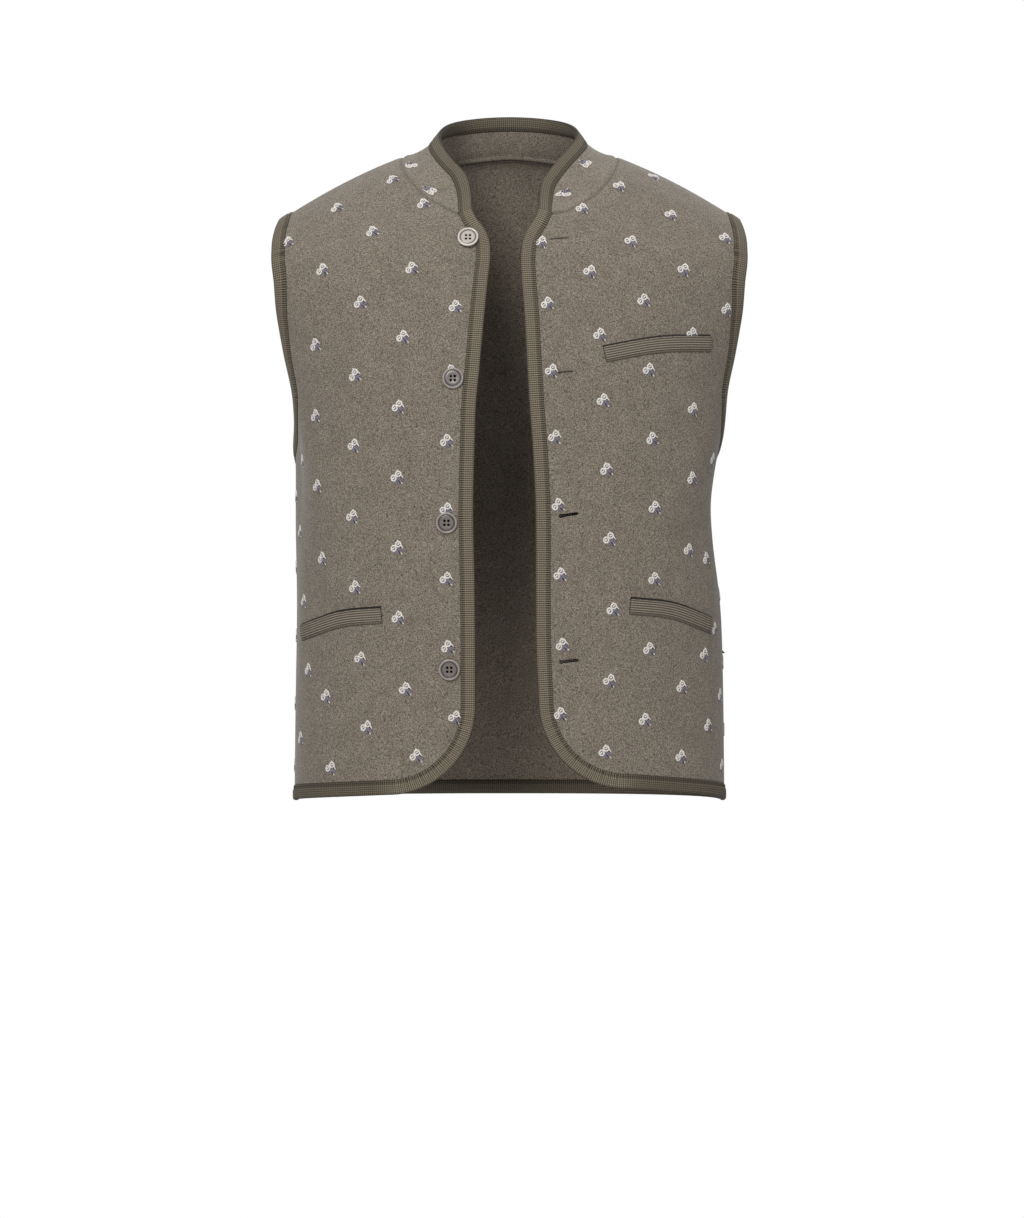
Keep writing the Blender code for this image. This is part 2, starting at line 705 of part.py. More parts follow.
def slit_outline(slit):
    """Keyhole outline of a buttonhole: a round eye and a narrow slit."""
    eye = np.array((slit.eye_x, slit.eye_z))
    end = np.array((slit.end_x, slit.end_z))
    along = unit(end - eye)
    across = np.array((-along[1], along[0]))
    outline = [end - along * SLIT_HALF - across * SLIT_HALF, end,
               end - along * SLIT_HALF + across * SLIT_HALF]
    opening = 0.18 * math.pi
    for angle in np.linspace(opening, 2.0 * math.pi - opening, EYE_SIDES):
        outline.append(eye + EYE_RADIUS * (math.cos(angle) * along + math.sin(angle) * across))
    return FRONT.locate_all(outline)


def collar_seam(side, band):
    """The neck seam on one side in two runs: its points, and the ways along it and out past the
    panel's edge there."""
    runs = []
    for half, line in ((FRONT, front_neck(side, band)), (BACK, back_neck(side))):
        places = neck_seam(half, line)
        points = half.point(places)
        along = unit(np.gradient(points, axis=0))
        beyond = unit(np.cross(half.frame(places)[2], along))
        panel_way = half.point((side * FRONT_MIDDLE[0], FRONT_MIDDLE[1])) - points
        runs.append((points, along, -beyond * np.sign(np.sum(beyond * panel_way))))
    return runs


def collar_side(side, band):
    """Rulings of one side of the collar from its front end to the middle of the back: the seam
    point, the ways along and beyond the panel's edge there, and the point on the outer edge."""
    column = "right" if side < 0 else "left"
    top = FRONT.point(band.mark[-1])
    front_rows = [(side * getattr(row, column), row.y, row.z) for row in COLLAR_EDGE]
    back_rows = [(side * getattr(row, column), row.y, row.z) for row in COLLAR_EDGE_BACK]
    mirrored = [(-x, y, z) for x, y, z in back_rows[::-1]]
    per_span = 12
    whole = smooth_curve([top] + front_rows + back_rows + [COLLAR_BACK] + mirrored, per_span)
    joint = per_span * len(front_rows)
    back_end = joint + per_span * (len(back_rows) + 1)
    rulings = []
    for edge, (points, along, beyond) in zip((whole[:joint + 1], whole[joint:back_end + 1]),
                                             collar_seam(side, band)):
        rulings += list(zip(points, along, beyond, divide(edge, edge, COLLAR_COLUMNS)))
    del rulings[COLLAR_COLUMNS]
    return rulings


def lift(bend):
    """Distance from the seam at which the collar clears the panel's edge, for their bend."""
    half = 0.5 * WOOL_THICK
    ways = [half + COLLAR_GAP]
    if math.sin(bend) > 0.1:
        ways.append((half + COLLAR_GAP - half * math.cos(bend)) / math.sin(bend))
    if math.cos(bend) > 0.1:
        ways.append((0.5 * COLLAR_GAP + half * math.sin(bend)) / math.cos(bend))
    return min(ways)


def collar_grid(bands):
    """Points of the collar from its seam to its cut edge, a column for each ruling."""
    right = collar_side(-1, bands[-1])
    left = collar_side(1, bands[1])
    columns = []
    for index, (seam_point, along, beyond, edge_point) in enumerate(right + left[-2::-1]):
        at_end = index in (0, 4 * COLLAR_COLUMNS)
        if at_end:
            across = unit(edge_point - seam_point)
            off_end = COLLAR_GAP * unit(beyond - across * np.dot(across, beyond))
            start = seam_point + off_end
            edge_point = edge_point + off_end
        else:
            rise = edge_point - seam_point
            rise = unit(rise - along * np.dot(rise, along))
            bend = math.acos(float(np.clip(np.dot(rise, beyond), -1.0, 1.0)))
            start = seam_point + rise * lift(bend)
        way = unit(edge_point - start)
        cut = edge_point - way * TAPE_REACH
        sewn = edge_point - way * min(TAPE_WIDTH, COLLAR_TAPE_SHARE * np.linalg.norm(edge_point - start))
        lower = [start + (sewn - start) * t for t in np.linspace(0.0, 1.0, COLLAR_ROWS)]
        columns.append(lower + [cut])
    grid = np.array(columns)
    width = np.linalg.norm(grid[:, -1] - grid[:, 0], axis=1)
    outward = unit(np.cross(grid[:, -1] - grid[:, 0], np.gradient(grid[:, 1], axis=0)))
    for row in range(grid.shape[1]):
        share = np.linalg.norm(grid[:, row] - grid[:, 0], axis=1) / width
        bow = COLLAR_BOW * 4.0 * share * (1.0 - share)
        bow *= np.clip((width - BOW_START) / BOW_RANGE, 0.0, 1.0)
        grid[:, row] -= outward * bow[:, None]
    return grid


def collar_normals(grid, bands):
    """Outward normals of the collar's points, the fronts' own at its two ends."""
    normals = unit(np.cross(np.gradient(grid, axis=1), np.gradient(grid, axis=0)))
    for column, side in ((0, -1), (-1, 1)):
        normals[column] = FRONT.frame(bands[side].edge[-1])[2]
    return normals


def make_collar(bands, wool, knit):
    grid = collar_grid(bands)
    normals = collar_normals(grid, bands)
    columns, rows = grid.shape[:2]
    triangles = []
    for c in range(columns - 1):
        for r in range(rows - 1):
            a, b = c * rows + r, c * rows + r + 1
            d, e = a + rows, b + rows
            triangles += [(a, d, b), (b, d, e)]
    half_thick = 0.5 * WOOL_THICK
    wall("collar", grid.reshape(-1, 3), normals.reshape(-1, 3), triangles, -half_thick, half_thick,
         wool)
    sections = [tape_section(grid[c, -1], grid[c, -2], normals[c, -1], normals[c, -2])
                for c in range(columns)]
    sweep_tape("tape_collar", sections, False, knit)


def make_button_mesh(finish):
    """The button about its own middle, back face down, with its four holes cut through."""
    shape = bmesh.new()
    profile = [shape.verts.new((rim.share * BUTTON_RADIUS, 0.0, rim.height))
               for rim in BUTTON_PROFILE]
    lines = [shape.edges.new(pair) for pair in zip(profile, profile[1:])]
    bmesh.ops.spin(shape, geom=profile + lines, cent=(0, 0, 0), axis=(0, 0, 1),
                   angle=2.0 * math.pi, steps=BUTTON_SIDES, use_merge=True)
    bmesh.ops.remove_doubles(shape, verts=shape.verts, dist=1e-6)
    button = add_object("button_blank", shape, finish)

    drills = bmesh.new()
    for sx in (-1, 1):
        for sy in (-1, 1):
            place = Matrix.Translation((sx * BUTTON_HOLE_PLACE, sy * BUTTON_HOLE_PLACE, 0.001))
            bmesh.ops.create_cone(drills, cap_ends=True, segments=BUTTON_HOLE_SIDES,
                                  radius1=BUTTON_HOLE_RADIUS, radius2=BUTTON_HOLE_RADIUS,
                                  depth=0.006, matrix=place)
    cutter = add_object("button_drills", drills, finish)
    cut = button.modifiers.new("holes", "BOOLEAN")
    cut.operation = "DIFFERENCE"
    cut.object = cutter
    evaluated = button.evaluated_get(bpy.context.evaluated_depsgraph_get())
    mesh = bpy.data.meshes.new_from_object(evaluated)
    for piece in (button, cutter):
        bpy.data.objects.remove(piece)
    return mesh


def make_buttons(finish):
    mesh = make_button_mesh(finish)
    for number, seat in enumerate(BUTTON_SEATS, start=1):
        place = np.array([FRONT.locate(seat.x, seat.z)])
        normal = Vector(FRONT.frame(place)[2][0])
        stand = 0.5 * WOOL_THICK + SEAM_GAP
        if seat.on_tape:
            stand += TAPE_THICK + SEAM_GAP
        spot = Vector(FRONT.point(place)[0]) + normal * stand
        button = bpy.data.objects.new(f"button_{number}", mesh)
        button.rotation_euler = normal.to_track_quat("Z", "Y").to_euler()
        button.location = spot
        bpy.context.scene.collection.objects.link(button)


def make_fronts(wool, knit, welt_finish):
    """Both fronts with their hem and front edge tape and their welts."""
    bands = {}
    armholes = {}
    for side, name in ((-1, "right"), (1, "left")):
        band = front_band(side)
        armhole = armhole_band(FRONT, FRONT_ARMHOLE, side)
        bands[side], armholes[side] = band, armhole
        neck = neck_seam(FRONT, front_neck(side, band))
        shoulder = seam(FRONT, neck[-1], armhole.inner[0])
        side_seam = seam(FRONT, armhole.inner[-1], band.inner[0])
        parts = [
            band.edge,
            np.vstack([band.edge[-1:], neck]),
            shoulder,
            np.vstack([armhole.inner[:1], armhole.edge]),
            np.vstack([armhole.edge[-1:], side_seam]),
            np.vstack([band.inner[:1], band.edge[:1]]),
        ]
        grids = []
        for welt in WELTS:
            if welt.start_x * side > 0.0:
                grids.append(welt_grid(welt))
                make_welt(welt.node, grids[-1], welt_finish)
        slits = [slit_outline(slit) for slit in BUTTONHOLES] if side > 0 else []
        cloth_panel(f"front_{name}", FRONT, parts, [band, armhole], grids, slits, wool)
        sweep_tape(f"tape_front_{name}", band_sections(band), False, knit)
    return bands, armholes


def make_back(wool, knit):
    """The back, cut in one piece, with its hem tape."""
    start, end = (np.array((side * SIDE_TURN, BACK.locate(0.0, HEM_SIDE)[1])) for side in (-1, 1))
    hem = make_band(BACK, np.linspace(start, end, 60), BACK_MIDDLE, keep_start=0, keep_end=0)
    armholes = {side: armhole_band(BACK, BACK_ARMHOLE, side) for side in (-1, 1)}
    neck = {side: neck_seam(BACK, back_neck(side)) for side in (-1, 1)}
    parts = [
        hem.edge,
        np.vstack([hem.edge[-1:], seam(BACK, hem.inner[-1], armholes[1].inner[0])]),
        np.vstack([armholes[1].inner[:1], armholes[1].edge]),
        np.vstack([armholes[1].edge[-1:], seam(BACK, armholes[1].inner[-1], neck[1][0])]),
        neck[1],
        neck[-1][::-1],
        seam(BACK, neck[-1][0], armholes[-1].inner[-1]),
        np.vstack([armholes[-1].inner[-1:], armholes[-1].edge[::-1]]),
        np.vstack([armholes[-1].edge[:1], seam(BACK, armholes[-1].inner[0], hem.inner[0])]),
        np.vstack([hem.inner[:1], hem.edge[:1]]),
    ]
    cloth_panel("back", BACK, parts, [hem, armholes[1], armholes[-1]], [], [], wool)
    sweep_tape("tape_hem_back", band_sections(hem), False, knit)
    return armholes


def make_armhole_tape(name, front, back, finish):
    """Tape round a whole armhole, over the shoulder and side seams."""
    ahead = band_sections(front)
    behind = band_sections(back)
    bottom = [0.5 * (a + b) for a, b in zip(ahead[-1], behind[0])]
    top = [0.5 * (a + b) for a, b in zip(ahead[0], behind[-1])]
    sweep_tape(name, [top] + ahead[1:-1] + [bottom] + behind[1:-1], True, finish)


def main():
    for thing in list(bpy.data.objects):
        bpy.data.objects.remove(thing)
    wool = material("felted_wool", WOOL_COLOUR, 0.95)
    knit = material("knitted_tape", TAPE_COLOUR, 0.90)
    welt_finish = material("welt_knit", WELT_COLOUR, 0.90)
    horn = material("grey_horn", BUTTON_COLOUR, 0.35)
    bands, front_armholes = make_fronts(wool, knit, welt_finish)
    back_armholes = make_back(wool, knit)
    make_collar(bands, wool, knit)
    for side, name in ((-1, "right"), (1, "left")):
        make_armhole_tape(f"tape_armhole_{name}", front_armholes[side], back_armholes[side], knit)
    make_buttons(horn)


main()
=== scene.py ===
"""Looks of a wool waistcoat, worn open, dressed over its solids.

Metres, +Z up. The fronts face -Y and the wearer's left is +X. Every cloth piece lies on one smooth
surface for the front and one for the back. A place on them is a turn, from 0 in the middle to 1 or
-1 at a side seam, and a level, counted down from the shoulder seam by the rows of their tables.
"""
import logging
import math
from dataclasses import dataclass, field
from enum import IntEnum
from typing import Callable, NamedTuple, Sequence

import bmesh
import bpy
import numpy as np
from bmesh.types import BMesh, BMVert
from bpy.types import Material, Mesh, Node, NodeSocket, Object
from mathutils import Matrix, Vector
from numpy import ndarray as Array


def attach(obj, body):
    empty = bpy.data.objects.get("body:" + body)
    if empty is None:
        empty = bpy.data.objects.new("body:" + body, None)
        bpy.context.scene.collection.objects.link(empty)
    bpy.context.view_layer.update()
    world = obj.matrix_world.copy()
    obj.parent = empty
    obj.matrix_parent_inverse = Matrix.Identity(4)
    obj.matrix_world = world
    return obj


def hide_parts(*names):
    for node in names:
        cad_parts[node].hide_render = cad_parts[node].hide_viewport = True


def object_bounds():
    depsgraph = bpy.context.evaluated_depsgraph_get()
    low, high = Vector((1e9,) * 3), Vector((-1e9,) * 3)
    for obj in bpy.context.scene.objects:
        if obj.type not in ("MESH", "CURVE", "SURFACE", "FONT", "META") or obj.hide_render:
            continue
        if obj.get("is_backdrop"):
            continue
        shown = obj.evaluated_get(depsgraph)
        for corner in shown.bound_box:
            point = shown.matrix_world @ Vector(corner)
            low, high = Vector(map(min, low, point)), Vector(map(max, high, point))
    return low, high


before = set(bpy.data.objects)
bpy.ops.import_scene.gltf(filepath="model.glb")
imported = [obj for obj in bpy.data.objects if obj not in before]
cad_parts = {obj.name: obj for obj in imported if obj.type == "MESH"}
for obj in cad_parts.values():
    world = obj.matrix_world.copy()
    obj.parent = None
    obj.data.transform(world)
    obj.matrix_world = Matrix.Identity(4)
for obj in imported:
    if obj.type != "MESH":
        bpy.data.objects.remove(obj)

LOG = logging.getLogger("waistcoat")
CAD_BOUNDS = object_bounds()

# Cloth and tape
WOOL_THICK = 0.0020
TAPE_WIDTH = 0.0145
TAPE_REACH = 0.0018
RIB_PITCH = 0.0021
SECTIONS_PER_RIB = 4
NECK_DITCH = 0.0014
CREASE_FADE = 3.0
CREASE_TAPER = 0.3

# The body's shape: its level sections, shoulders, underarm and hem
ROUNDNESS = 2.6
DROOP_POWER = 1.8
SHOULDER_HALF = 0.226
NECK_HALF = 0.106
UNDERARM = -0.290
UNDERARM_ANGLES = (30.0, 50.0, 68.0, 82.0, 90.0)
HEM_SIDE = -0.641
CORNER_RADIUS = 0.085

# How finely places, lines and meshes are worked out
SLOPE_STEP = 0.005
HALVINGS = 40
ARC_POINTS = 25
HEM_POINTS = 40
WELD = 1e-6
MM_IN_A_METRE = 1000.0


class Side(IntEnum):
    """A side of the garment, by the wearer's own right and left."""

    RIGHT = -1
    LEFT = 1

    @property
    def word(self) -> str:
        """The side as tables and pieces name it."""
        return self.name.lower()


class Facing(IntEnum):
    """The front or the back of the garment, by the way that it faces along Y."""

    FRONT = -1
    BACK = 1


class Thread(IntEnum):
    """A yarn of the sprigs, by its place among their finishes."""

    IVORY = 0
    LILAC = 1
    PLUM = 2


class YokeRow(NamedTuple):
    """A row from the shoulder seam to the underarm, as it is at the garment's middle."""

    height: float
    droop: float
    depth: float
    width: float
    centre: float


class BodyRow(NamedTuple):
    """A row below the underarm, which the fronts and the back share at the sides."""

    height: float
    width: float
    front_depth: float
    back_depth: float
    centre: float


class Fold(NamedTuple):
    """A large soft fold: its place by share of the way from the side and by height."""

    side: Side
    from_side: float
    height: float
    depth: float
    spread: float
    spread_height: float


class Crease(NamedTuple):
    """A soft ridge between two flat points, or a trough where its rise is below 0."""

    start_x: float
    start_y: float
    end_x: float
    end_y: float
    width: float
    rise: float


class EdgeRow(NamedTuple):
    """The finished front edges seen from the front, as distances from the middle."""

    height: float
    right: float
    left: float


class LineRow(NamedTuple):
    """A point of an armhole or a neck seam seen from the front."""

    x: float
    height: float


class CollarRow(NamedTuple):
    """A point of the collar's outer edge, with its distances from the middle."""

    right: float
    left: float
    y: float
    z: float


def table(kind: type, *rows: tuple) -> tuple:
    """Rows of one kind from their plain values."""
    return tuple(kind(*row) for row in rows)


HEM_FRONT = {Side.RIGHT: -0.629, Side.LEFT: -0.623}
FRONT_YOKE = (
    YokeRow(0.0213, 0.0865, 0.000, 0.310, 0.000),
    YokeRow(0.0103, 0.0780, 0.033, 0.310, 0.000),
    YokeRow(-0.0103, 0.0700, 0.057, 0.320, -0.002),
    YokeRow(-0.0440, 0.0560, 0.080, 0.310, -0.003),
    YokeRow(-0.0920, 0.0400, 0.107, 0.268, -0.005),
    YokeRow(-0.1510, 0.0240, 0.125, 0.239, -0.007),
    YokeRow(-0.2220, 0.0100, 0.138, 0.220, -0.009),
)
BACK_YOKE = (
    YokeRow(0.0213, 0.0865, 0.000, 0.310, 0.000),
    YokeRow(0.0210, 0.0950, 0.030, 0.310, 0.000),
    YokeRow(0.0190, 0.1180, 0.056, 0.300, -0.002),
    YokeRow(0.0080, 0.1430, 0.084, 0.280, -0.003),
    YokeRow(-0.0160, 0.1490, 0.101, 0.258, -0.005),
    YokeRow(-0.0600, 0.1350, 0.113, 0.241, -0.006),
    YokeRow(-0.1250, 0.1000, 0.122, 0.230, -0.007),
    YokeRow(-0.2120, 0.0500, 0.130, 0.219, -0.009),
)
BODY = (
    BodyRow(-0.290, 0.2120, 0.140, 0.135, -0.010),
    BodyRow(-0.370, 0.2110, 0.138, 0.122, -0.012),
    BodyRow(-0.450, 0.2095, 0.136, 0.113, -0.012),
    BodyRow(-0.550, 0.2110, 0.130, 0.112, -0.012),
    BodyRow(-0.650, 0.2120, 0.130, 0.119, -0.012),
)
SIDE_FOLD = Fold(Side.LEFT, 0.00, -0.356, 0.018, 0.26, 0.062)
FOLDS = {
    Facing.FRONT: (
        SIDE_FOLD,
        Fold(Side.RIGHT, 0.20, -0.330, 0.004, 0.09, 0.070),
    ),
    Facing.BACK: (
        SIDE_FOLD,
        Fold(Side.LEFT, 0.48, -0.400, 0.007, 0.12, 0.120),
        Fold(Side.RIGHT, 0.42, -0.420, 0.008, 0.13, 0.130),
    ),
}
CREASES = {
    Facing.FRONT: table(
        Crease,
        (0.25, -0.33, 0.15, -0.44, 0.026, 0.0026), (0.262, -0.42, 0.19, -0.47, 0.02, -0.0022),
        (0.11, -0.19, 0.19, -0.27, 0.03, 0.0016), (0.085, -0.47, 0.11, -0.64, 0.034, 0.0018),
        (0.175, -0.52, 0.185, -0.69, 0.024, -0.0016), (-0.255, -0.35, -0.175, -0.43, 0.026, 0.0022),
        (-0.245, -0.44, -0.2, -0.54, 0.02, -0.0018), (-0.12, -0.18, -0.19, -0.25, 0.03, 0.0016),
        (-0.09, -0.5, -0.105, -0.68, 0.032, 0.0016), (-0.165, -0.56, -0.16, -0.7, 0.022, -0.0014)),
    Facing.BACK: table(
        Crease,
        (0.06, -0.12, 0.17, -0.25, 0.03, 0.0022), (-0.055, -0.13, -0.165, -0.24, 0.028, 0.002),
        (0.235, -0.38, 0.11, -0.43, 0.024, -0.0026), (-0.24, -0.37, -0.125, -0.44, 0.026, -0.0024),
        (0.225, -0.45, 0.09, -0.52, 0.022, 0.002), (-0.228, -0.44, -0.1, -0.5, 0.024, 0.0022),
        (0.045, -0.42, 0.055, -0.66, 0.036, 0.0018), (-0.07, -0.44, -0.06, -0.64, 0.032, -0.0016),
        (0.15, -0.56, 0.16, -0.7, 0.024, -0.0016), (-0.16, -0.54, -0.165, -0.7, 0.026, 0.0018)),
}
FRONT_EDGE = table(
    EdgeRow,
    (-0.0645, 0.0360, 0.0280), (-0.0750, 0.0310, 0.0235), (-0.0850, 0.0238, 0.0175),
    (-0.0970, 0.0189, 0.0125), (-0.1130, 0.0178, 0.0105), (-0.1350, 0.0200, 0.0113),
    (-0.1740, 0.0238, 0.0142), (-0.2230, 0.0281, 0.0168), (-0.2570, 0.0313, 0.0188),
    (-0.2910, 0.0325, 0.0214), (-0.3570, 0.0339, 0.0246), (-0.4250, 0.0326, 0.0248),
    (-0.4900, 0.0320, 0.0253), (-0.5440, 0.0320, 0.0275))
FRONT_ARMHOLE = table(
    LineRow,
    (0.2260, -0.0652), (0.2292, -0.0740), (0.2318, -0.0880), (0.2322, -0.1040),
    (0.2290, -0.1330), (0.2243, -0.1740), (0.2190, -0.2030))
BACK_ARMHOLE = table(
    LineRow,
    (0.2260, -0.0652), (0.2272, -0.0760), (0.2270, -0.0990), (0.2260, -0.1330),
    (0.2230, -0.1720))
FRONT_NECK = (
    LineRow(0.0560, -0.0660),
    LineRow(0.0700, -0.0575),
    LineRow(0.0850, -0.0470),
    LineRow(0.0990, -0.0300),
    LineRow(0.1065, -0.0130),
    LineRow(NECK_HALF, 0.0),
)
BACK_NECK_DEPTH = 0.080
BACK_NECK_POWER = 2.4
COLLAR_EDGE = table(
    CollarRow,
    (0.0365, 0.0285, -0.0800, -0.0500), (0.0390, 0.0310, -0.0680, -0.0347),
    (0.0440, 0.0375, -0.0585, -0.0235), (0.0530, 0.0450, -0.0490, -0.0130),
    (0.0625, 0.0560, -0.0350, 0.0010), (0.0685, 0.0650, -0.0130, 0.0160))
COLLAR_EDGE_BACK = table(
    CollarRow,
    (0.0665, 0.0655, 0.0110, 0.0280), (0.0570, 0.0565, 0.0370, 0.0390),
    (0.0340, 0.0340, 0.0590, 0.0470))
COLLAR_BACK = (0.0, 0.0670, 0.0500)


def unit(vectors: Array) -> Array:
    """Vectors made one long."""
    return vectors / np.linalg.norm(vectors, axis=-1, keepdims=True)


def ease(value: Array) -> Array:
    """A smooth step from 0 to 1, level at both ends."""
    value = np.clip(value, 0.0, 1.0)
    return value * value * (3.0 - 2.0 * value)


def reach_along(points: Array) -> Array:
    """Distance along a line at each of its points."""
    steps = np.linalg.norm(np.diff(points, axis=0), axis=1)
    return np.concatenate([[0.0], np.cumsum(steps)])


def divide(points: Array, along: Array, count: int) -> Array:
    """Rows of a table at even distances along a line.

    Args:
        points: The line in space.
        along: A row of values for each of its points.
        count: How many even spans to make.

    Returns:
        count + 1 rows of values.
    """
    reach = reach_along(points)
    marks = np.linspace(0.0, reach[-1], count + 1)
    return np.stack([np.interp(marks, reach, column) for column in along.T], axis=-1)


def smooth_curve(points: Sequence, per_span: int = 12) -> Array:
    """Points close together on a smooth curve through the given ones.

    Args:
        points: The points that the curve goes through.
        per_span: How many points to make for each given one.

    Returns:
        The curve's points, one in a row.
    """
    points = np.asarray(points, dtype=float)
    reach = reach_along(points)
    slopes = np.gradient(points, reach, axis=0)
    curve = []
    for i in range(len(points) - 1):
        span = reach[i + 1] - reach[i]
        for t in np.linspace(0.0, 1.0, per_span, endpoint=False):
            rise = t * t * (3.0 - 2.0 * t)
            leave = t * (1.0 - t) ** 2 * span
            arrive = t * t * (t - 1.0) * span
            curve.append(points[i] + rise * (points[i + 1] - points[i])
                         + leave * slopes[i] + arrive * slopes[i + 1])
    curve.append(points[-1])
    return np.array(curve)


def distance_to(line: Array, points: Array) -> Array:
    """Distance of flat points from a flat line.

    Args:
        line: The line's points, one in a row.
        points: The points to measure.

    Returns:
        One distance for each point.
    """
    nearest = np.full(len(points), np.inf)
    for start, end in zip(line, line[1:]):
        run = end - start
        share = np.clip((points - start) @ run / max(run @ run, 1e-12), 0.0, 1.0)
        gap = np.linalg.norm(points - start - share[:, None] * run, axis=1)
        nearest = np.minimum(nearest, gap)
    return nearest


def section_table(samples: int = 4001) -> tuple[Array, Array, Array, float]:
    """Distance along a quarter of the unit section, its x and y, and its length."""
    angle = np.linspace(0.0, math.pi / 2.0, samples)
    x = np.sin(angle) ** (2.0 / ROUNDNESS)
    y = np.cos(angle) ** (2.0 / ROUNDNESS)
    y[-1] = 0.0
    along = np.concatenate([[0.0], np.cumsum(np.hypot(np.diff(x), np.diff(y)))])
    return along / along[-1], x, y, along[-1]


ALONG, UNIT_X, UNIT_Y, UNIT_LENGTH = section_table()


class Half:
    """The front or the back of the garment as one smooth surface."""

    def __init__(self, yoke: Sequence[YokeRow], other_yoke: Sequence[YokeRow],
                 facing: Facing) -> None:
        """Set up the surface.

        Args:
            yoke: This half's rows down to the underarm.
            other_yoke: The other half's, which this one joins smoothly over the shoulder.
            facing: The way that it faces.
        """
        self.facing = facing
        rows = [tuple(row) for row in yoke]
        for row in BODY:
            depth = row.front_depth if facing is Facing.FRONT else row.back_depth
            rows.append((row.height, 0.0, depth, row.width, row.centre))
        rows = np.array(rows)
        self.last = len(rows) - 1
        over = other_yoke[1]
        behind = (over.height, over.droop, -over.depth, over.width, over.centre)
        self.padded = np.vstack([behind, rows, 2.0 * rows[-1] - rows[-2]])
        steps = np.hypot(np.diff(rows[:, 0]), np.diff(rows[:, 2]))
        self.descent = np.concatenate([[0.0], np.cumsum(steps)])

    def row(self, level: Array) -> Array:
        """The row's values on a smooth curve through the table.

        Args:
            level: The levels to read it at.

        Returns:
            One row of values for each level.
        """
        level = np.asarray(level, dtype=float)
        index = np.clip(np.floor(level).astype(int), 0, self.last - 1)
        t = (level - index)[..., None]
        before, start, end, after = (self.padded[index + k] for k in range(4))
        return 0.5 * (2.0 * start + (end - before) * t
                      + (2.0 * before - 5.0 * start + 4.0 * end - after) * t ** 2
                      + (3.0 * start - before - 3.0 * end + after) * t ** 3)

    def plain_point(self, places: Array) -> Array:
        """Points of the surface with its large folds alone.

        Args:
            places: Turns and levels, a pair in each last row.

        Returns:
            One point in space for each place.
        """
        turn, level = np.moveaxis(np.asarray(places, dtype=float), -1, 0)
        height, droop, depth, width, centre = np.moveaxis(self.row(level), -1, 0)
        along = np.abs(turn)
        x = width * np.interp(along, ALONG, UNIT_X)
        y = self.facing * depth * np.interp(along, ALONG, UNIT_Y)
        z = height - droop * (x / SHOULDER_HALF) ** DROOP_POWER
        pull = np.zeros_like(x)
        for fold in FOLDS[self.facing]:
            across = (1.0 - along - fold.from_side) / fold.spread
            up = (z - fold.height) / fold.spread_height
            pull += ((np.sign(turn) == fold.side) * fold.depth / width
                     * np.exp(-across ** 2 - up ** 2))
        x = np.sign(turn) * x * (1.0 - pull)
        return np.stack([x, centre + y * (1.0 - pull), z], axis=-1)

    def slopes(self, places: Array) -> tuple[Array, Array]:
        """Change of the surface's point with the turn and with the level."""
        found = []
        for step in ((SLOPE_STEP, 0.0), (0.0, SLOPE_STEP)):
            change = self.plain_point(places + np.array(step)) - self.plain_point(
                places - np.array(step))
            found.append(change / (2.0 * SLOPE_STEP))
        return found[0], found[1]

    def normal(self, places: Array) -> Array:
        """Outward direction of the surface at places."""
        by_turn, by_level = self.slopes(np.asarray(places, dtype=float))
        return unit(self.facing * np.cross(by_turn, by_level))

    def crease_rise(self, places: Array) -> Array:
        """How far the creases lift the cloth.

        Args:
            places: The places to measure at.

        Returns:
            One rise for each place.
        """
        flat = self.spread(places)
        rise = np.zeros(flat.shape[:-1])
        for crease in CREASES[self.facing]:
            start = np.array((crease.start_x, crease.start_y))
            run = np.array((crease.end_x, crease.end_y)) - start
            share = (flat - start) @ run / (run @ run)
            beyond = np.maximum(np.abs(share - 0.5) - 0.5, 0.0) * np.linalg.norm(run)
            held = np.clip(share, 0.0, 1.0)
            aside = np.linalg.norm(flat - start - held[..., None] * run, axis=-1)
            fade = np.exp(-(held - 0.5) ** 2 * CREASE_FADE)
            rise += crease.rise * fade * np.exp(-(aside / crease.width) ** 2
                                                - (beyond / crease.width) ** 2 * CREASE_TAPER)
        return rise

    def point(self, places: Array, lift: Array | float = 0.0) -> Array:
        """Points in space at places, out from the middle of the cloth by a lift."""
        places = np.asarray(places, dtype=float)
        rise = self.crease_rise(places) + lift
        return self.plain_point(places) + self.normal(places) * rise[..., None]

    def level_at(self, height_of: Callable[[float], float], z: float) -> float:
        """The level at which a height that falls with the level comes to z.

        Args:
            height_of: Gives the height at a level.
            z: The height to find.

        Returns:
            The level.
        """
        low, high = 0.0, float(self.last)
        for _ in range(HALVINGS):
            middle = 0.5 * (low + high)
            if height_of(middle) > z:
                low = middle
            else:
                high = middle
        return low

    def locate(self, x: float, z: float) -> tuple[float, float]:
        """The place seen from the front.

        Args:
            x: Its distance from the garment's middle.
            z: Its height.

        Returns:
            Its turn and its level.
        """
        droop = (abs(x) / SHOULDER_HALF) ** DROOP_POWER
        level = self.level_at(lambda at: self.row(at)[0] - self.row(at)[1] * droop, z)
        width = self.row(level)[3]
        return math.copysign(np.interp(abs(x) / width, UNIT_X, ALONG), x), level

    def at_flat_x(self, flat_x: float, z: float) -> Array:
        """The flat point at a flat distance from the middle and a height in space.

        Args:
            flat_x: The distance across the flat layout.
            z: The height in space.

        Returns:
            The point's x and y in the flat layout.
        """
        def place(level: float) -> Array:
            """The place on a level at the flat distance."""
            return np.array([flat_x / (self.row(level)[3] * UNIT_LENGTH), level])

        return self.spread(place(self.level_at(lambda at: self.plain_point(place(at))[2], z)))

    def locate_all(self, outline: Sequence) -> Array:
        """The places of an outline seen from the front."""
        return np.array([self.locate(x, z) for x, z in outline])

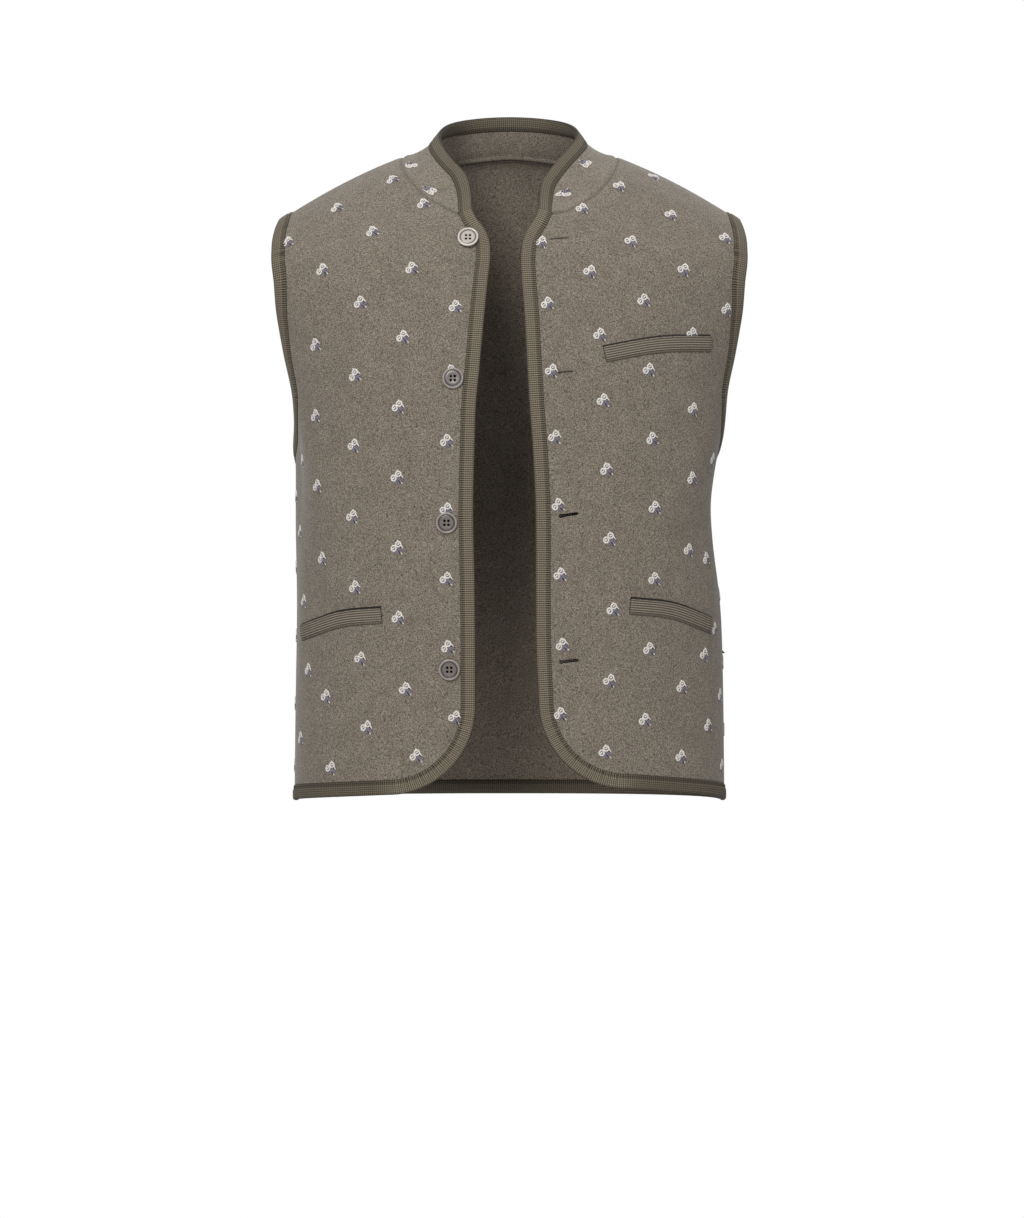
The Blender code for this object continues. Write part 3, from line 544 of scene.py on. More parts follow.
    def spread(self, places: Array) -> Array:
        """Places laid out flat at about their true distances."""
        turn, level = np.moveaxis(np.asarray(places, dtype=float), -1, 0)
        descent = np.interp(level, np.arange(self.last + 1), self.descent)
        return np.stack([turn * self.row(level)[..., 3] * UNIT_LENGTH, -descent], axis=-1)

    def gather(self, flat: Array) -> Array:
        """The places of points laid out flat by spread."""
        x, y = np.moveaxis(np.asarray(flat, dtype=float), -1, 0)
        level = np.interp(-y, self.descent, np.arange(self.last + 1))
        return np.stack([x / (self.row(level)[..., 3] * UNIT_LENGTH), level], axis=-1)

    def beside(self, place: Array, x: Array, y: Array) -> Array:
        """Places at distances across and up from a place, as seen from outside.

        Args:
            place: The place that they are measured from.
            x: Distances to the viewer's right.
            y: Distances up the cloth.

        Returns:
            One place for each pair of distances.
        """
        by_turn, by_level = self.slopes(place)
        across = unit(by_turn) * -self.facing
        up = np.cross(self.normal(place), across)
        slopes = np.stack([by_turn, by_level], axis=-1)
        way = np.outer(x, across) + np.outer(y, up)
        return place + way @ np.linalg.pinv(slopes).T

    def inward(self, marks: Array, towards: tuple[float, float]) -> Array:
        """Change of place for each metre straight in from an edge.

        Args:
            marks: Places along the finished edge.
            towards: A place well inside the panel.

        Returns:
            One change of turn and level for each mark.
        """
        points = self.plain_point(marks)
        by_turn, by_level = self.slopes(marks)
        normal = unit(self.facing * np.cross(by_turn, by_level))
        way = unit(np.cross(normal, unit(np.gradient(points, axis=0))))
        if np.sum(way * (self.plain_point(np.array(towards)) - points)) < 0.0:
            way = -way
        aa = np.sum(by_turn * by_turn, axis=1)
        ab = np.sum(by_turn * by_level, axis=1)
        bb = np.sum(by_level * by_level, axis=1)
        wa, wb = np.sum(way * by_turn, axis=1), np.sum(way * by_level, axis=1)
        size = aa * bb - ab * ab
        return np.stack([(bb * wa - ab * wb) / size, (aa * wb - ab * wa) / size], axis=-1)

    def onto(self, place: Array, x: Array, y: Array, height: Array
             ) -> Array:
        """Points on the wool's outer face, at distances across and up from a place."""
        return self.point(self.beside(place, x, y), 0.5 * WOOL_THICK + height)


FRONT = Half(FRONT_YOKE, BACK_YOKE, Facing.FRONT)
BACK = Half(BACK_YOKE, FRONT_YOKE, Facing.BACK)
BACK_MIDDLE = (0.0, 8.0)


def front_middle(side: Side) -> tuple[float, float]:
    """A place well inside a front."""
    return side * 0.6, 7.0


def back_hem() -> Array:
    """Finished hem of the back, from the wearer's right to the left."""
    level = BACK.locate(0.0, HEM_SIDE)[1]
    return np.linspace((-1.0, level), (1.0, level), 200)


def straight(start: Array, end: Array, count: int) -> Array:
    """Flat points at even steps from one to another."""
    ends = np.stack([start, end])
    return divide(ends, ends, count)


def even_line(half: Half, outline: Array, step: float) -> Array:
    """Places along an outline at an even step in space."""
    points = half.plain_point(outline)
    count = max(2, round(reach_along(points)[-1] / step))
    return divide(points, outline, count)


def front_outline(side: Side) -> Array:
    """Finished outline of a front: its hem from the side, the rounded corner and the front edge.

    Args:
        side: Which front.

    Returns:
        The outline's places, one in a row.
    """
    rows = [(side * getattr(row, side.word), row.height) for row in FRONT_EDGE[:-1]]
    corner_x = getattr(FRONT_EDGE[-1], side.word) + CORNER_RADIUS
    corner_z = HEM_FRONT[side] + CORNER_RADIUS
    arc = []
    for angle in np.linspace(0.0, 0.5 * math.pi, ARC_POINTS):
        arc.append((side * (corner_x - CORNER_RADIUS * math.cos(angle)),
                    corner_z - CORNER_RADIUS * math.sin(angle)))
    edge = FRONT.locate_all(smooth_curve(rows + arc[:1]))
    corner = FRONT.locate_all(arc)
    start = FRONT.locate(0.0, HEM_SIDE)[1]
    hem = np.stack([np.linspace(corner[-1][0], side, HEM_POINTS),
                    np.linspace(corner[-1][1], start, HEM_POINTS)], axis=-1)
    return np.vstack([hem[::-1], corner[-2::-1], edge[-2::-1]])


def armhole_outline(half: Half, side: Side) -> Array:
    """Finished armhole edge of one half, from the shoulder seam to the side seam.

    Args:
        half: The front or the back.
        side: Which armhole.

    Returns:
        The edge's places, one in a row.
    """
    rows = FRONT_ARMHOLE if half is FRONT else BACK_ARMHOLE
    upper = [half.locate(side * row.x, row.height) for row in rows]
    upper[0] = (upper[0][0], 0.0)
    turn, level = upper[-1]
    bottom = half.locate(0.0, UNDERARM)[1]
    for angle in np.radians(UNDERARM_ANGLES):
        upper.append((turn + (side - turn) * (1.0 - math.cos(angle)),
                      level + (bottom - level) * math.sin(angle)))
    outline = half.gather(smooth_curve(half.spread(np.array(upper))))
    outline[0, 1] = 0.0
    outline[-1, 0] = side
    return outline


def front_neck(side: Side) -> Array:
    """Front neck seam, from the tape's sewn edge at the top of the front to the neck point.

    Args:
        side: Which front.

    Returns:
        The seam's places, one in a row.
    """
    outline = front_outline(side)
    delta = FRONT.inward(outline, front_middle(side))
    start = outline[-1] + delta[-1] * TAPE_WIDTH
    neck = FRONT.locate_all([(side * row.x, row.height) for row in FRONT_NECK])
    neck[-1, 1] = 0.0
    return FRONT.gather(smooth_curve(np.vstack([FRONT.spread(start[None]), FRONT.spread(neck)])))


def back_neck(side: Side) -> Array:
    """Back neck seam from the neck point to the middle of the back.

    Args:
        side: Which half of the back's neck.

    Returns:
        The seam's places, one in a row.
    """
    levels = np.linspace(0.0, 5.0, 501)
    rows = BACK.row(levels)
    places = []
    for share in np.linspace(0.0, 1.0, 49):
        angle = 0.5 * math.pi * share
        x = NECK_HALF * math.cos(angle) ** (2.0 / BACK_NECK_POWER)
        depth = BACK_NECK_DEPTH * math.sin(angle) ** (2.0 / BACK_NECK_POWER)
        profile = np.interp(np.interp(x / rows[:, 3], UNIT_X, ALONG), ALONG, UNIT_Y)
        level = float(np.interp(depth, rows[:, 4] + rows[:, 2] * profile, levels))
        places.append((side * np.interp(x / BACK.row(level)[3], UNIT_X, ALONG), level))
    places[0] = (places[0][0], 0.0)
    return np.array(places)


def new_object(name: str, mesh: Mesh, finishes: Sequence[Material]
               ) -> Object:
    """Put a mesh in the scene as a smooth piece with its finishes."""
    for finish in finishes:
        mesh.materials.append(finish)
    mesh.shade_smooth()
    piece = bpy.data.objects.new(name, mesh)
    bpy.context.scene.collection.objects.link(piece)
    return piece


def set_points(mesh: Mesh, points: Array) -> None:
    """Move a mesh's vertices to new points."""
    mesh.vertices.foreach_set("co", np.ascontiguousarray(points, dtype=np.float32).ravel())
    mesh.update()


def get_points(mesh: Mesh) -> Array:
    """A mesh's vertices as an array."""
    points = np.empty(len(mesh.vertices) * 3, dtype=np.float32)
    mesh.vertices.foreach_get("co", points)
    return points.reshape(-1, 3).astype(float)


def set_flat(mesh: Mesh, flat: Array, name: str = "cloth") -> None:
    """Give a mesh a UV map with the cloth's own metres at each vertex."""
    corner = np.empty(len(mesh.loops), dtype=np.int32)
    mesh.loops.foreach_get("vertex_index", corner)
    layer = mesh.uv_layers.new(name=name)
    layer.data.foreach_set("uv", np.ascontiguousarray(flat[corner], dtype=np.float32).ravel())


def set_share(mesh: Mesh, name: str, values: Array) -> None:
    """Store one number at each vertex under a name."""
    layer = mesh.attributes.new(name, "FLOAT", "POINT")
    layer.data.foreach_set("value", np.ascontiguousarray(values, dtype=np.float32))


def mesh_from(shape: BMesh, name: str) -> Mesh:
    """A finished shape as a new mesh."""
    mesh = bpy.data.meshes.new(name)
    shape.to_mesh(mesh)
    shape.free()
    return mesh


def piece_from(shape: BMesh, name: str, finish: Material) -> Object:
    """A closed shape as a piece of its own, with its faces outward."""
    bmesh.ops.recalc_face_normals(shape, faces=shape.faces)
    return new_object(name, mesh_from(shape, name), [finish])


def close_sweep(mesh: Mesh, endless: bool = False) -> None:
    """Weld the seam of a swept section and shut its two ends.

    Args:
        mesh: The swept grid.
        endless: Whether the sweep comes back to its own start, with no end to shut.
    """
    shape = bmesh.new()
    shape.from_mesh(mesh)
    seam = [vert for vert in shape.verts if vert.is_boundary]
    bmesh.ops.remove_doubles(shape, verts=seam, dist=WELD)
    if not endless:
        rings = [edge for edge in shape.edges if edge.is_boundary]
        bmesh.ops.holes_fill(shape, edges=rings, sides=0)
    bmesh.ops.recalc_face_normals(shape, faces=shape.faces)
    shape.to_mesh(mesh)
    shape.free()


def grid_mesh(name: str, columns: int, rows: int) -> tuple[Mesh, Array, Array]:
    """A grid from 0 to 1 both ways, with each vertex's column and row.

    Args:
        name: The mesh's name.
        columns: Spans along the first way.
        rows: Spans along the second.

    Returns:
        The mesh, and the column and row number of each vertex.
    """
    shape = bmesh.new()
    bmesh.ops.create_grid(shape, x_segments=columns, y_segments=rows, size=0.5)
    mesh = mesh_from(shape, name)
    share = get_points(mesh)[:, :2] + 0.5
    column = np.rint(share[:, 0] * columns).astype(int)
    row = np.rint(share[:, 1] * rows).astype(int)
    return mesh, column, row


def face_outward(mesh: Mesh, outward: Array) -> None:
    """Turn a sheet's faces over where they point against the outward directions of its vertices."""
    mesh.update()
    normals = np.empty(len(mesh.vertices) * 3, dtype=np.float32)
    mesh.vertices.foreach_get("normal", normals)
    if np.sum(normals.reshape(-1, 3) * outward) < 0.0:
        mesh.flip_normals()


def applied(piece: Object) -> Object:
    """Bake a piece's modifiers into its mesh."""
    evaluated = piece.evaluated_get(bpy.context.evaluated_depsgraph_get())
    mesh = bpy.data.meshes.new_from_object(evaluated)
    piece.modifiers.clear()
    piece.data = mesh
    return piece


def thicken(piece: Object, even: bool) -> Object:
    """Give a sheet the wool's thickness, half to each side.

    Args:
        piece: The sheet.
        even: Whether corners keep the full thickness.

    Returns:
        The piece.
    """
    wall = piece.modifiers.new("cloth", "SOLIDIFY")
    wall.thickness = WOOL_THICK
    wall.offset = 0.0
    wall.use_even_offset = even
    return applied(piece)


def cut_out(piece: Object, cutter: Object) -> None:
    """Cut the cutter's shape out of a piece, then drop the cutter."""
    cut = piece.modifiers.new("holes", "BOOLEAN")
    cut.operation = "DIFFERENCE"
    cut.object = cutter
    applied(piece)
    bpy.data.objects.remove(cutter)


class Nodes:
    """Short calls that build one material's nodes."""

    def __init__(self, name: str) -> None:
        """Start a material with its shader."""
        self.material = bpy.data.materials.new(name)
        self.material.use_nodes = True
        self.tree = self.material.node_tree
        self.shader = self.tree.nodes["Principled BSDF"]

    def add(self, kind: str, **settings: object) -> Node:
        """A node with its settings."""
        node = self.tree.nodes.new(kind)
        for key, value in settings.items():
            setattr(node, key, value)
        return node

    def join(self, source: object, target: NodeSocket) -> None:
        """Link a socket, or set a plain value, on another socket."""
        if isinstance(source, NodeSocket):
            self.tree.links.new(source, target)
        else:
            target.default_value = source

    def maths(self, operation: str, first: object, second: object = 0.0) -> NodeSocket:
        """One sum of two numbers or sockets."""
        node = self.add("ShaderNodeMath", operation=operation)
        self.join(first, node.inputs[0])
        self.join(second, node.inputs[1])
        return node.outputs[0]

    def blend(self, first: object, share: object, second: object, other_share: object
              ) -> NodeSocket:
        """The sum of two values, each times its share."""
        return self.maths("ADD", self.maths("MULTIPLY", first, share),
                          self.maths("MULTIPLY", second, other_share))

    def place(self) -> NodeSocket:
        """The point of the surface in the garment's frame, in metres."""
        return self.add("ShaderNodeTexCoord").outputs["Object"]

    def flat(self) -> tuple[NodeSocket, NodeSocket]:
        """The cloth's own metres along and across."""
        uv = self.add("ShaderNodeUVMap", uv_map="cloth")
        split = self.add("ShaderNodeSeparateXYZ")
        self.join(uv.outputs[0], split.inputs[0])
        return split.outputs[0], split.outputs[1]

    def share(self, name: str) -> NodeSocket:
        """A number stored at the vertices."""
        return self.add("ShaderNodeAttribute", attribute_name=name).outputs["Fac"]

    def scaled(self, vector: NodeSocket, scale: tuple[float, float, float],
               turn: tuple[float, float, float] = (0.0, 0.0, 0.0)) -> NodeSocket:
        """A vector turned, then scaled."""
        node = self.add("ShaderNodeMapping")
        self.join(vector, node.inputs["Vector"])
        node.inputs["Scale"].default_value = scale
        node.inputs["Rotation"].default_value = turn
        return node.outputs[0]

    def noise(self, vector: NodeSocket, scale: float, detail: float = 2.0,
              roughness: float = 0.5) -> NodeSocket:
        """Soft noise, about 0.5 on average."""
        node = self.add("ShaderNodeTexNoise")
        self.join(vector, node.inputs["Vector"])
        node.inputs["Scale"].default_value = scale
        node.inputs["Detail"].default_value = detail
        node.inputs["Roughness"].default_value = roughness
        return node.outputs["Fac"]

    def between(self, value: object, low: float, high: float, to_low: float = 0.0,
                to_high: float = 1.0) -> NodeSocket:
        """A value carried from one range to another and held at its ends."""
        node = self.add("ShaderNodeMapRange", clamp=True)
        self.join(value, node.inputs["Value"])
        for key, number in (("From Min", low), ("From Max", high), ("To Min", to_low),
                            ("To Max", to_high)):
            node.inputs[key].default_value = number
        return node.outputs[0]

    def mix(self, share: object, first: object, second: object) -> NodeSocket:
        """A colour between two others."""
        node = self.add("ShaderNodeMix", data_type="RGBA")
        self.join(share, node.inputs[0])
        self.join(first, node.inputs[6])
        self.join(second, node.inputs[7])
        return node.outputs[2]

    def wave(self, value: object, pitch: float) -> NodeSocket:
        """A wave from 0 to 1 with a pitch in metres, 1 in the middle of each rib."""
        turns = self.maths("MULTIPLY", value, 2.0 * math.pi / pitch)
        return self.between(self.maths("COSINE", turns), 1.0, -1.0)

    def bump(self, height: object, distance: float, strength: float = 1.0) -> None:
        """Raise the surface by a height between 0 and 1, times a distance in metres."""
        node = self.add("ShaderNodeBump")
        self.join(height, node.inputs["Height"])
        node.inputs["Distance"].default_value = distance
        node.inputs["Strength"].default_value = strength
        self.join(node.outputs[0], self.shader.inputs["Normal"])

    def finish(self, colour: object, roughness: object, **fixed: object) -> Material:
        """Set the shader's colour, roughness and any of its other fixed values."""
        self.join(colour, self.shader.inputs["Base Color"])
        self.join(roughness, self.shader.inputs["Roughness"])
        for key, value in fixed.items():
            self.shader.inputs[key.replace("_", " ")].default_value = value
        return self.material


def colour(red: float, green: float, blue: float) -> tuple[float, float, float, float]:
    """A shader colour from screen values of 0 to 255."""
    def linear(value: float) -> float:
        """One channel as light."""
        value /= 255.0
        return value / 12.92 if value <= 0.04045 else ((value + 0.055) / 1.055) ** 2.4
    return linear(red), linear(green), linear(blue), 1.0


@dataclass(frozen=True)
class FeltedWool:
    """Thick felted wool: short mixed fibres in grey and taupe, soft mottling, and painted shade
    along the seam ditches.
    """

    name: str = "felted_wool"
    dark: tuple = colour(62, 54, 43)
    middle: tuple = colour(112, 103, 90)
    light: tuple = colour(166, 156, 142)
    # Colour of the painted shade along the seam ditches
    crease: tuple = colour(56, 49, 41)
    speck_scale: float = 940.0
    fibre_scale: float = 1500.0
    fibre_ways: tuple = (((1.0, 1.0, 0.25), (0.0, 0.5, 0.6)), ((0.22, 1.0, 1.0), (0.0, 0.4, -0.3)))
    mottle_scale: float = 55.0
    speck_span: tuple = (0.34, 0.66)
    fibre_span: tuple = (0.60, 0.80)
    mottle_span: tuple = (0.30, 0.70)
    seam_shade_span: tuple = (0.15, 0.95)
    middle_share: float = 0.1
    fibre_share: float = 0.32
    mottle_share: float = 0.16
    seam_shade_share: float = 0.5
    speck_rise: float = 0.6
    fibre_rise: float = 0.4
    relief: float = 0.0005

    def build(self) -> Material:
        """Make the material."""
        nodes = Nodes(self.name)
        place = nodes.place()
        speck = nodes.noise(place, self.speck_scale, detail=3.0, roughness=0.62)
        level, slant = [nodes.noise(nodes.scaled(place, scale, turn), self.fibre_scale, detail=1.0)
                        for scale, turn in self.fibre_ways]
        fibre = nodes.maths("MAXIMUM", level, slant)
        mottle = nodes.noise(place, self.mottle_scale)
        base = nodes.mix(nodes.between(speck, *self.speck_span), self.dark, self.light)
        base = nodes.mix(self.middle_share, base, self.middle)
        fleck = nodes.between(fibre, *self.fibre_span, to_high=self.fibre_share)
        base = nodes.mix(fleck, base, self.light)
        shade = nodes.between(mottle, *self.mottle_span, to_high=self.mottle_share)
        base = nodes.mix(shade, base, self.dark)
        # Painted shade: the wool darkens towards the crease colour along the seam ditches
        seam = nodes.between(nodes.share("seam"), *self.seam_shade_span, to_high=self.seam_shade_share)
        base = nodes.mix(seam, base, self.crease)
        nodes.bump(nodes.blend(speck, self.speck_rise, fibre, self.fibre_rise), self.relief,
                   strength=0.8)
        return nodes.finish(base, roughness=0.95, Sheen_Weight=0.25, Sheen_Roughness=0.5,
                            Specular_IOR_Level=0.15)


@dataclass(frozen=True)
class KnittedTape:
    """Knitted tape: cross ribs and lengthwise wales, painted shade in their valleys, along the
    outer fold and on weakly ribbed lengths, and a dark stitched margin.
    """

    name: str = "knitted_tape"
    # The dark serves the stitched margin and the painted shade in the valleys, at the fold and on
    # weak ribs
    dark: tuple = colour(42, 37, 29)
    light: tuple = colour(160, 149, 129)
    rib_pitch: float = RIB_PITCH
    wale_pitch: float = 0.0020
    fuzz_scale: float = 1400.0
    stripe_share: float = 0.45
    stitch_share: float = 0.75
    fuzz_share: float = 0.35
    tone_span: tuple = (0.05, 0.95)
    margin_span: tuple = (0.0100, 0.0106)
    dot_span: tuple = (0.3, 0.9)
    fold_shade_span: tuple = (0.0004, 0.0016)
    weak_rib_shade_span: tuple = (0.35, 0.75)
    relief: float = 0.00035

    def build(self) -> Material:
        """Make the material."""
        nodes = Nodes(self.name)
        along, across = nodes.flat()
        inside = nodes.maths("ABSOLUTE", across)
        ribs = nodes.share("ribs")
        rib = nodes.wave(along, self.rib_pitch)
        wale = nodes.wave(inside, self.wale_pitch)
        both = nodes.maths("MULTIPLY", rib, wale)
        stripes = nodes.blend(rib, ribs, wale, nodes.maths("SUBTRACT", 1.0, ribs))
        stitch = nodes.blend(stripes, self.stripe_share, both, 1.0 - self.stripe_share)
        fuzz = nodes.noise(nodes.place(), self.fuzz_scale)
        tone = nodes.blend(stitch, self.stitch_share, fuzz, self.fuzz_share)
        # The tone's dark valleys between ribs and wales are painted shade; its fuzz is the yarn's
        # own mottling
        base = nodes.mix(nodes.between(tone, *self.tone_span), self.dark, self.light)
        margin = nodes.between(inside, *self.margin_span, to_high=0.75)
        stitches = nodes.between(rib, *self.dot_span, to_low=1.0, to_high=0.35)
        base = nodes.mix(nodes.maths("MULTIPLY", margin, stitches), base, self.dark)
        # Painted shade along the outer fold, where the tape turns away
        fold = nodes.between(inside, *self.fold_shade_span, to_low=0.85, to_high=0.0)
        base = nodes.mix(fold, base, self.dark)
        # Painted shade on lengths with weak ribs, deepest along the hem
        plain = nodes.between(ribs, *self.weak_rib_shade_span, to_low=0.42, to_high=0.0)
        base = nodes.mix(plain, base, self.dark)
        nodes.bump(tone, self.relief, strength=0.8)
        return nodes.finish(base, roughness=0.92, Sheen_Weight=0.10, Sheen_Roughness=0.5,
                            Specular_IOR_Level=0.2)


@dataclass(frozen=True)
class WeltKnit:
    """Finer knit of the pocket welts, with painted shade between its wales, a stitched lower margin
    and painted shadow in the pocket mouth.
    """

    name: str = "welt_knit"
    # The dark serves the stitched margin, the ends and the painted shade between the wales
    dark: tuple = colour(46, 41, 34)
    light: tuple = colour(166, 156, 140)
    # Colour of the painted shadow in the pocket mouth
    mouth: tuple = colour(26, 23, 19)
    rib_pitch: float = 0.0016
    fuzz_scale: float = 1400.0
    ragged_scale: float = 500.0
    ragged_width: float = 0.0014
    wale_share: float = 0.62
    stitch_share: float = 0.8
    fuzz_share: float = 0.35
    tone_span: tuple = (0.10, 0.98)
    margin_span: tuple = (-0.0058, -0.0063)
    dot_span: tuple = (0.3, 0.9)
    end_span: tuple = (0.0, 0.0012)
    mouth_shade_span: tuple = (0.0074, 0.0079)
    relief: float = 0.0003

    def build(self) -> Material:
        """Make the material."""
        nodes = Nodes(self.name)
        along, across = nodes.flat()
        rib = nodes.wave(along, self.rib_pitch)
        wale = nodes.share("wale")
        fuzz = nodes.noise(nodes.place(), self.fuzz_scale)
        both = nodes.maths("MULTIPLY", rib, wale)
        stitch = nodes.blend(wale, self.wale_share, both, 1.0 - self.wale_share)
        tone = nodes.blend(stitch, self.stitch_share, fuzz, self.fuzz_share)
        # The tone's dark valleys between the wales are painted shade; its fuzz is the yarn's own
        # mottling
        base = nodes.mix(nodes.between(tone, *self.tone_span), self.dark, self.light)
        margin = nodes.between(across, *self.margin_span, to_high=0.8)
        stitches = nodes.between(rib, *self.dot_span, to_low=1.0, to_high=0.4)
        base = nodes.mix(nodes.maths("MULTIPLY", margin, stitches), base, self.dark)
        end = nodes.between(nodes.share("end"), *self.end_span, to_low=0.75, to_high=0.0)
        base = nodes.mix(end, base, self.dark)
        # Painted shadow along the pocket mouth, with a ragged edge
        wander = nodes.noise(nodes.place(), self.ragged_scale)
        ragged = nodes.blend(across, 1.0, wander, self.ragged_width)
        mouth = nodes.between(ragged, *self.mouth_shade_span, to_high=0.9)
        base = nodes.mix(mouth, base, self.mouth)
        nodes.bump(tone, self.relief, strength=0.8)
        return nodes.finish(base, roughness=0.92, Sheen_Weight=0.10, Sheen_Roughness=0.5,
                            Specular_IOR_Level=0.2)


@dataclass(frozen=True)
class Yarn:
    """Embroidery yarn, finely twisted."""

    name: str
    tint: tuple
    shade: tuple
    shine: float = 0.3
    sheen: float = 0.1
    fuzz_scale: float = 1800.0
    fuzz_span: tuple = (0.35, 0.62)
    relief: float = 0.0003

    def build(self) -> Material:
        """Make the material."""
        nodes = Nodes(self.name)
        fuzz = nodes.noise(nodes.place(), self.fuzz_scale)
        nodes.bump(fuzz, self.relief, strength=0.7)
        base = nodes.mix(nodes.between(fuzz, *self.fuzz_span), self.shade, self.tint)
        return nodes.finish(base, roughness=0.8, Sheen_Weight=self.sheen,
                            Specular_IOR_Level=self.shine)


@dataclass(frozen=True)
class Horn:
    """Polished grey horn with faint streaks, a painted highlight on the rim and painted shade in
    the turned groove.
    """

    name: str
    tint: tuple
    # Colour of the painted highlight on the rim
    edge: tuple
    streak: tuple
    # Colour of the painted shade in the turned groove
    groove_shade: tuple
    streak_share: float = 0.35
    streak_scale: float = 190.0
    streak_stretch: tuple = (1.0, 1.0, 3.2)
    streak_turn: tuple = (0.0, 0.7, 0.0)
    streak_span: tuple = (0.35, 0.70)
    rim_highlight_share: float = 0.8
    groove_shade_share: float = 0.85
    grain_scale: float = 900.0
    relief: float = 0.00008

    def build(self) -> Material:
        """Make the material."""
        nodes = Nodes(self.name)
        place = nodes.place()
        streaks = nodes.scaled(place, self.streak_stretch, self.streak_turn)
        cloud = nodes.noise(streaks, self.streak_scale, detail=3.0, roughness=0.6)
        base = nodes.mix(nodes.between(cloud, *self.streak_span, to_high=self.streak_share),
                         self.tint, self.streak)
        # Painted highlight on the raised rim
        rim = nodes.maths("MULTIPLY", nodes.share("rim"), self.rim_highlight_share)
        base = nodes.mix(rim, base, self.edge)
        # Painted shade in the turned groove
        groove = nodes.maths("MULTIPLY", nodes.share("groove"), self.groove_shade_share)
        base = nodes.mix(groove, base, self.groove_shade)
        rough = nodes.between(cloud, 0.3, 0.7, to_low=0.22, to_high=0.34)
        nodes.bump(nodes.noise(place, self.grain_scale), self.relief, strength=0.5)
        return nodes.finish(base, rough, Coat_Weight=0.25, Coat_Roughness=0.2)


@dataclass(frozen=True)
class Paper:
    """The pale floor of a studio."""

    name: str = "studio_paper"
    tint: tuple = colour(247, 247, 246)
    shade: tuple = colour(236, 236, 235)
    grain_scale: float = 40.0

    def build(self) -> Material:
        """Make the material."""
        nodes = Nodes(self.name)
        grain = nodes.noise(nodes.place(), self.grain_scale)
        base = nodes.mix(nodes.between(grain, 0.3, 0.7, to_high=0.05), self.tint, self.shade)
        return nodes.finish(base, roughness=0.9, Specular_IOR_Level=0.1)


@dataclass
class Finishes:
    """Every finish of the garment, made once."""

    wool: Material = field(default_factory=lambda: FeltedWool().build())
    tape: Material = field(default_factory=lambda: KnittedTape().build())
    welt: Material = field(default_factory=lambda: WeltKnit().build())
    # A horn's colours: its tint, the painted rim highlight, its streaks and the painted groove
    # shade
    horn: Material = field(default_factory=lambda: Horn(
        "grey_horn", colour(122, 114, 109), colour(168, 161, 155), colour(82, 76, 71),
        colour(52, 47, 43)).build())
    pale_horn: Material = field(default_factory=lambda: Horn(
        "pale_horn", colour(196, 186, 178), colour(226, 219, 211), colour(140, 131, 123),
        colour(78, 70, 63), streak_share=0.3).build())
    ivory: Material = field(default_factory=lambda: Yarn(
        "ivory_yarn", colour(246, 243, 238), colour(196, 190, 182)).build())
    lilac: Material = field(default_factory=lambda: Yarn(
        "lilac_yarn", colour(152, 147, 158), colour(98, 93, 104)).build())
    plum: Material = field(default_factory=lambda: Yarn(
        "plum_yarn", colour(86, 79, 96), colour(52, 46, 58)).build())
    # Near-black thread: painted shade for the buttonhole slits and behind the buttons' holes
    painted_shadow_thread: Material = field(default_factory=lambda: Yarn(
        "painted_shadow_thread", colour(10, 9, 8), colour(5, 4, 4), shine=0.05, sheen=0.0).build())

    def threads(self) -> list[Material]:
        """The sprigs' yarns, in the order of Thread."""
        return [self.ivory, self.lilac, self.plum]


class ProfilePoint(NamedTuple):
    """A point of the tape's section: its distance in from the fold and its height off the cloth's
    middle, below 0 on the reverse."""

    distance: float
    height: float


@dataclass
class TapePath:
    """Where a tape lies: the surface that it follows and how strong its cross ribs are."""

    surface: Callable[[float], tuple[Array, Array]]
    sections: int
    ribs: Array
    closed: bool = False


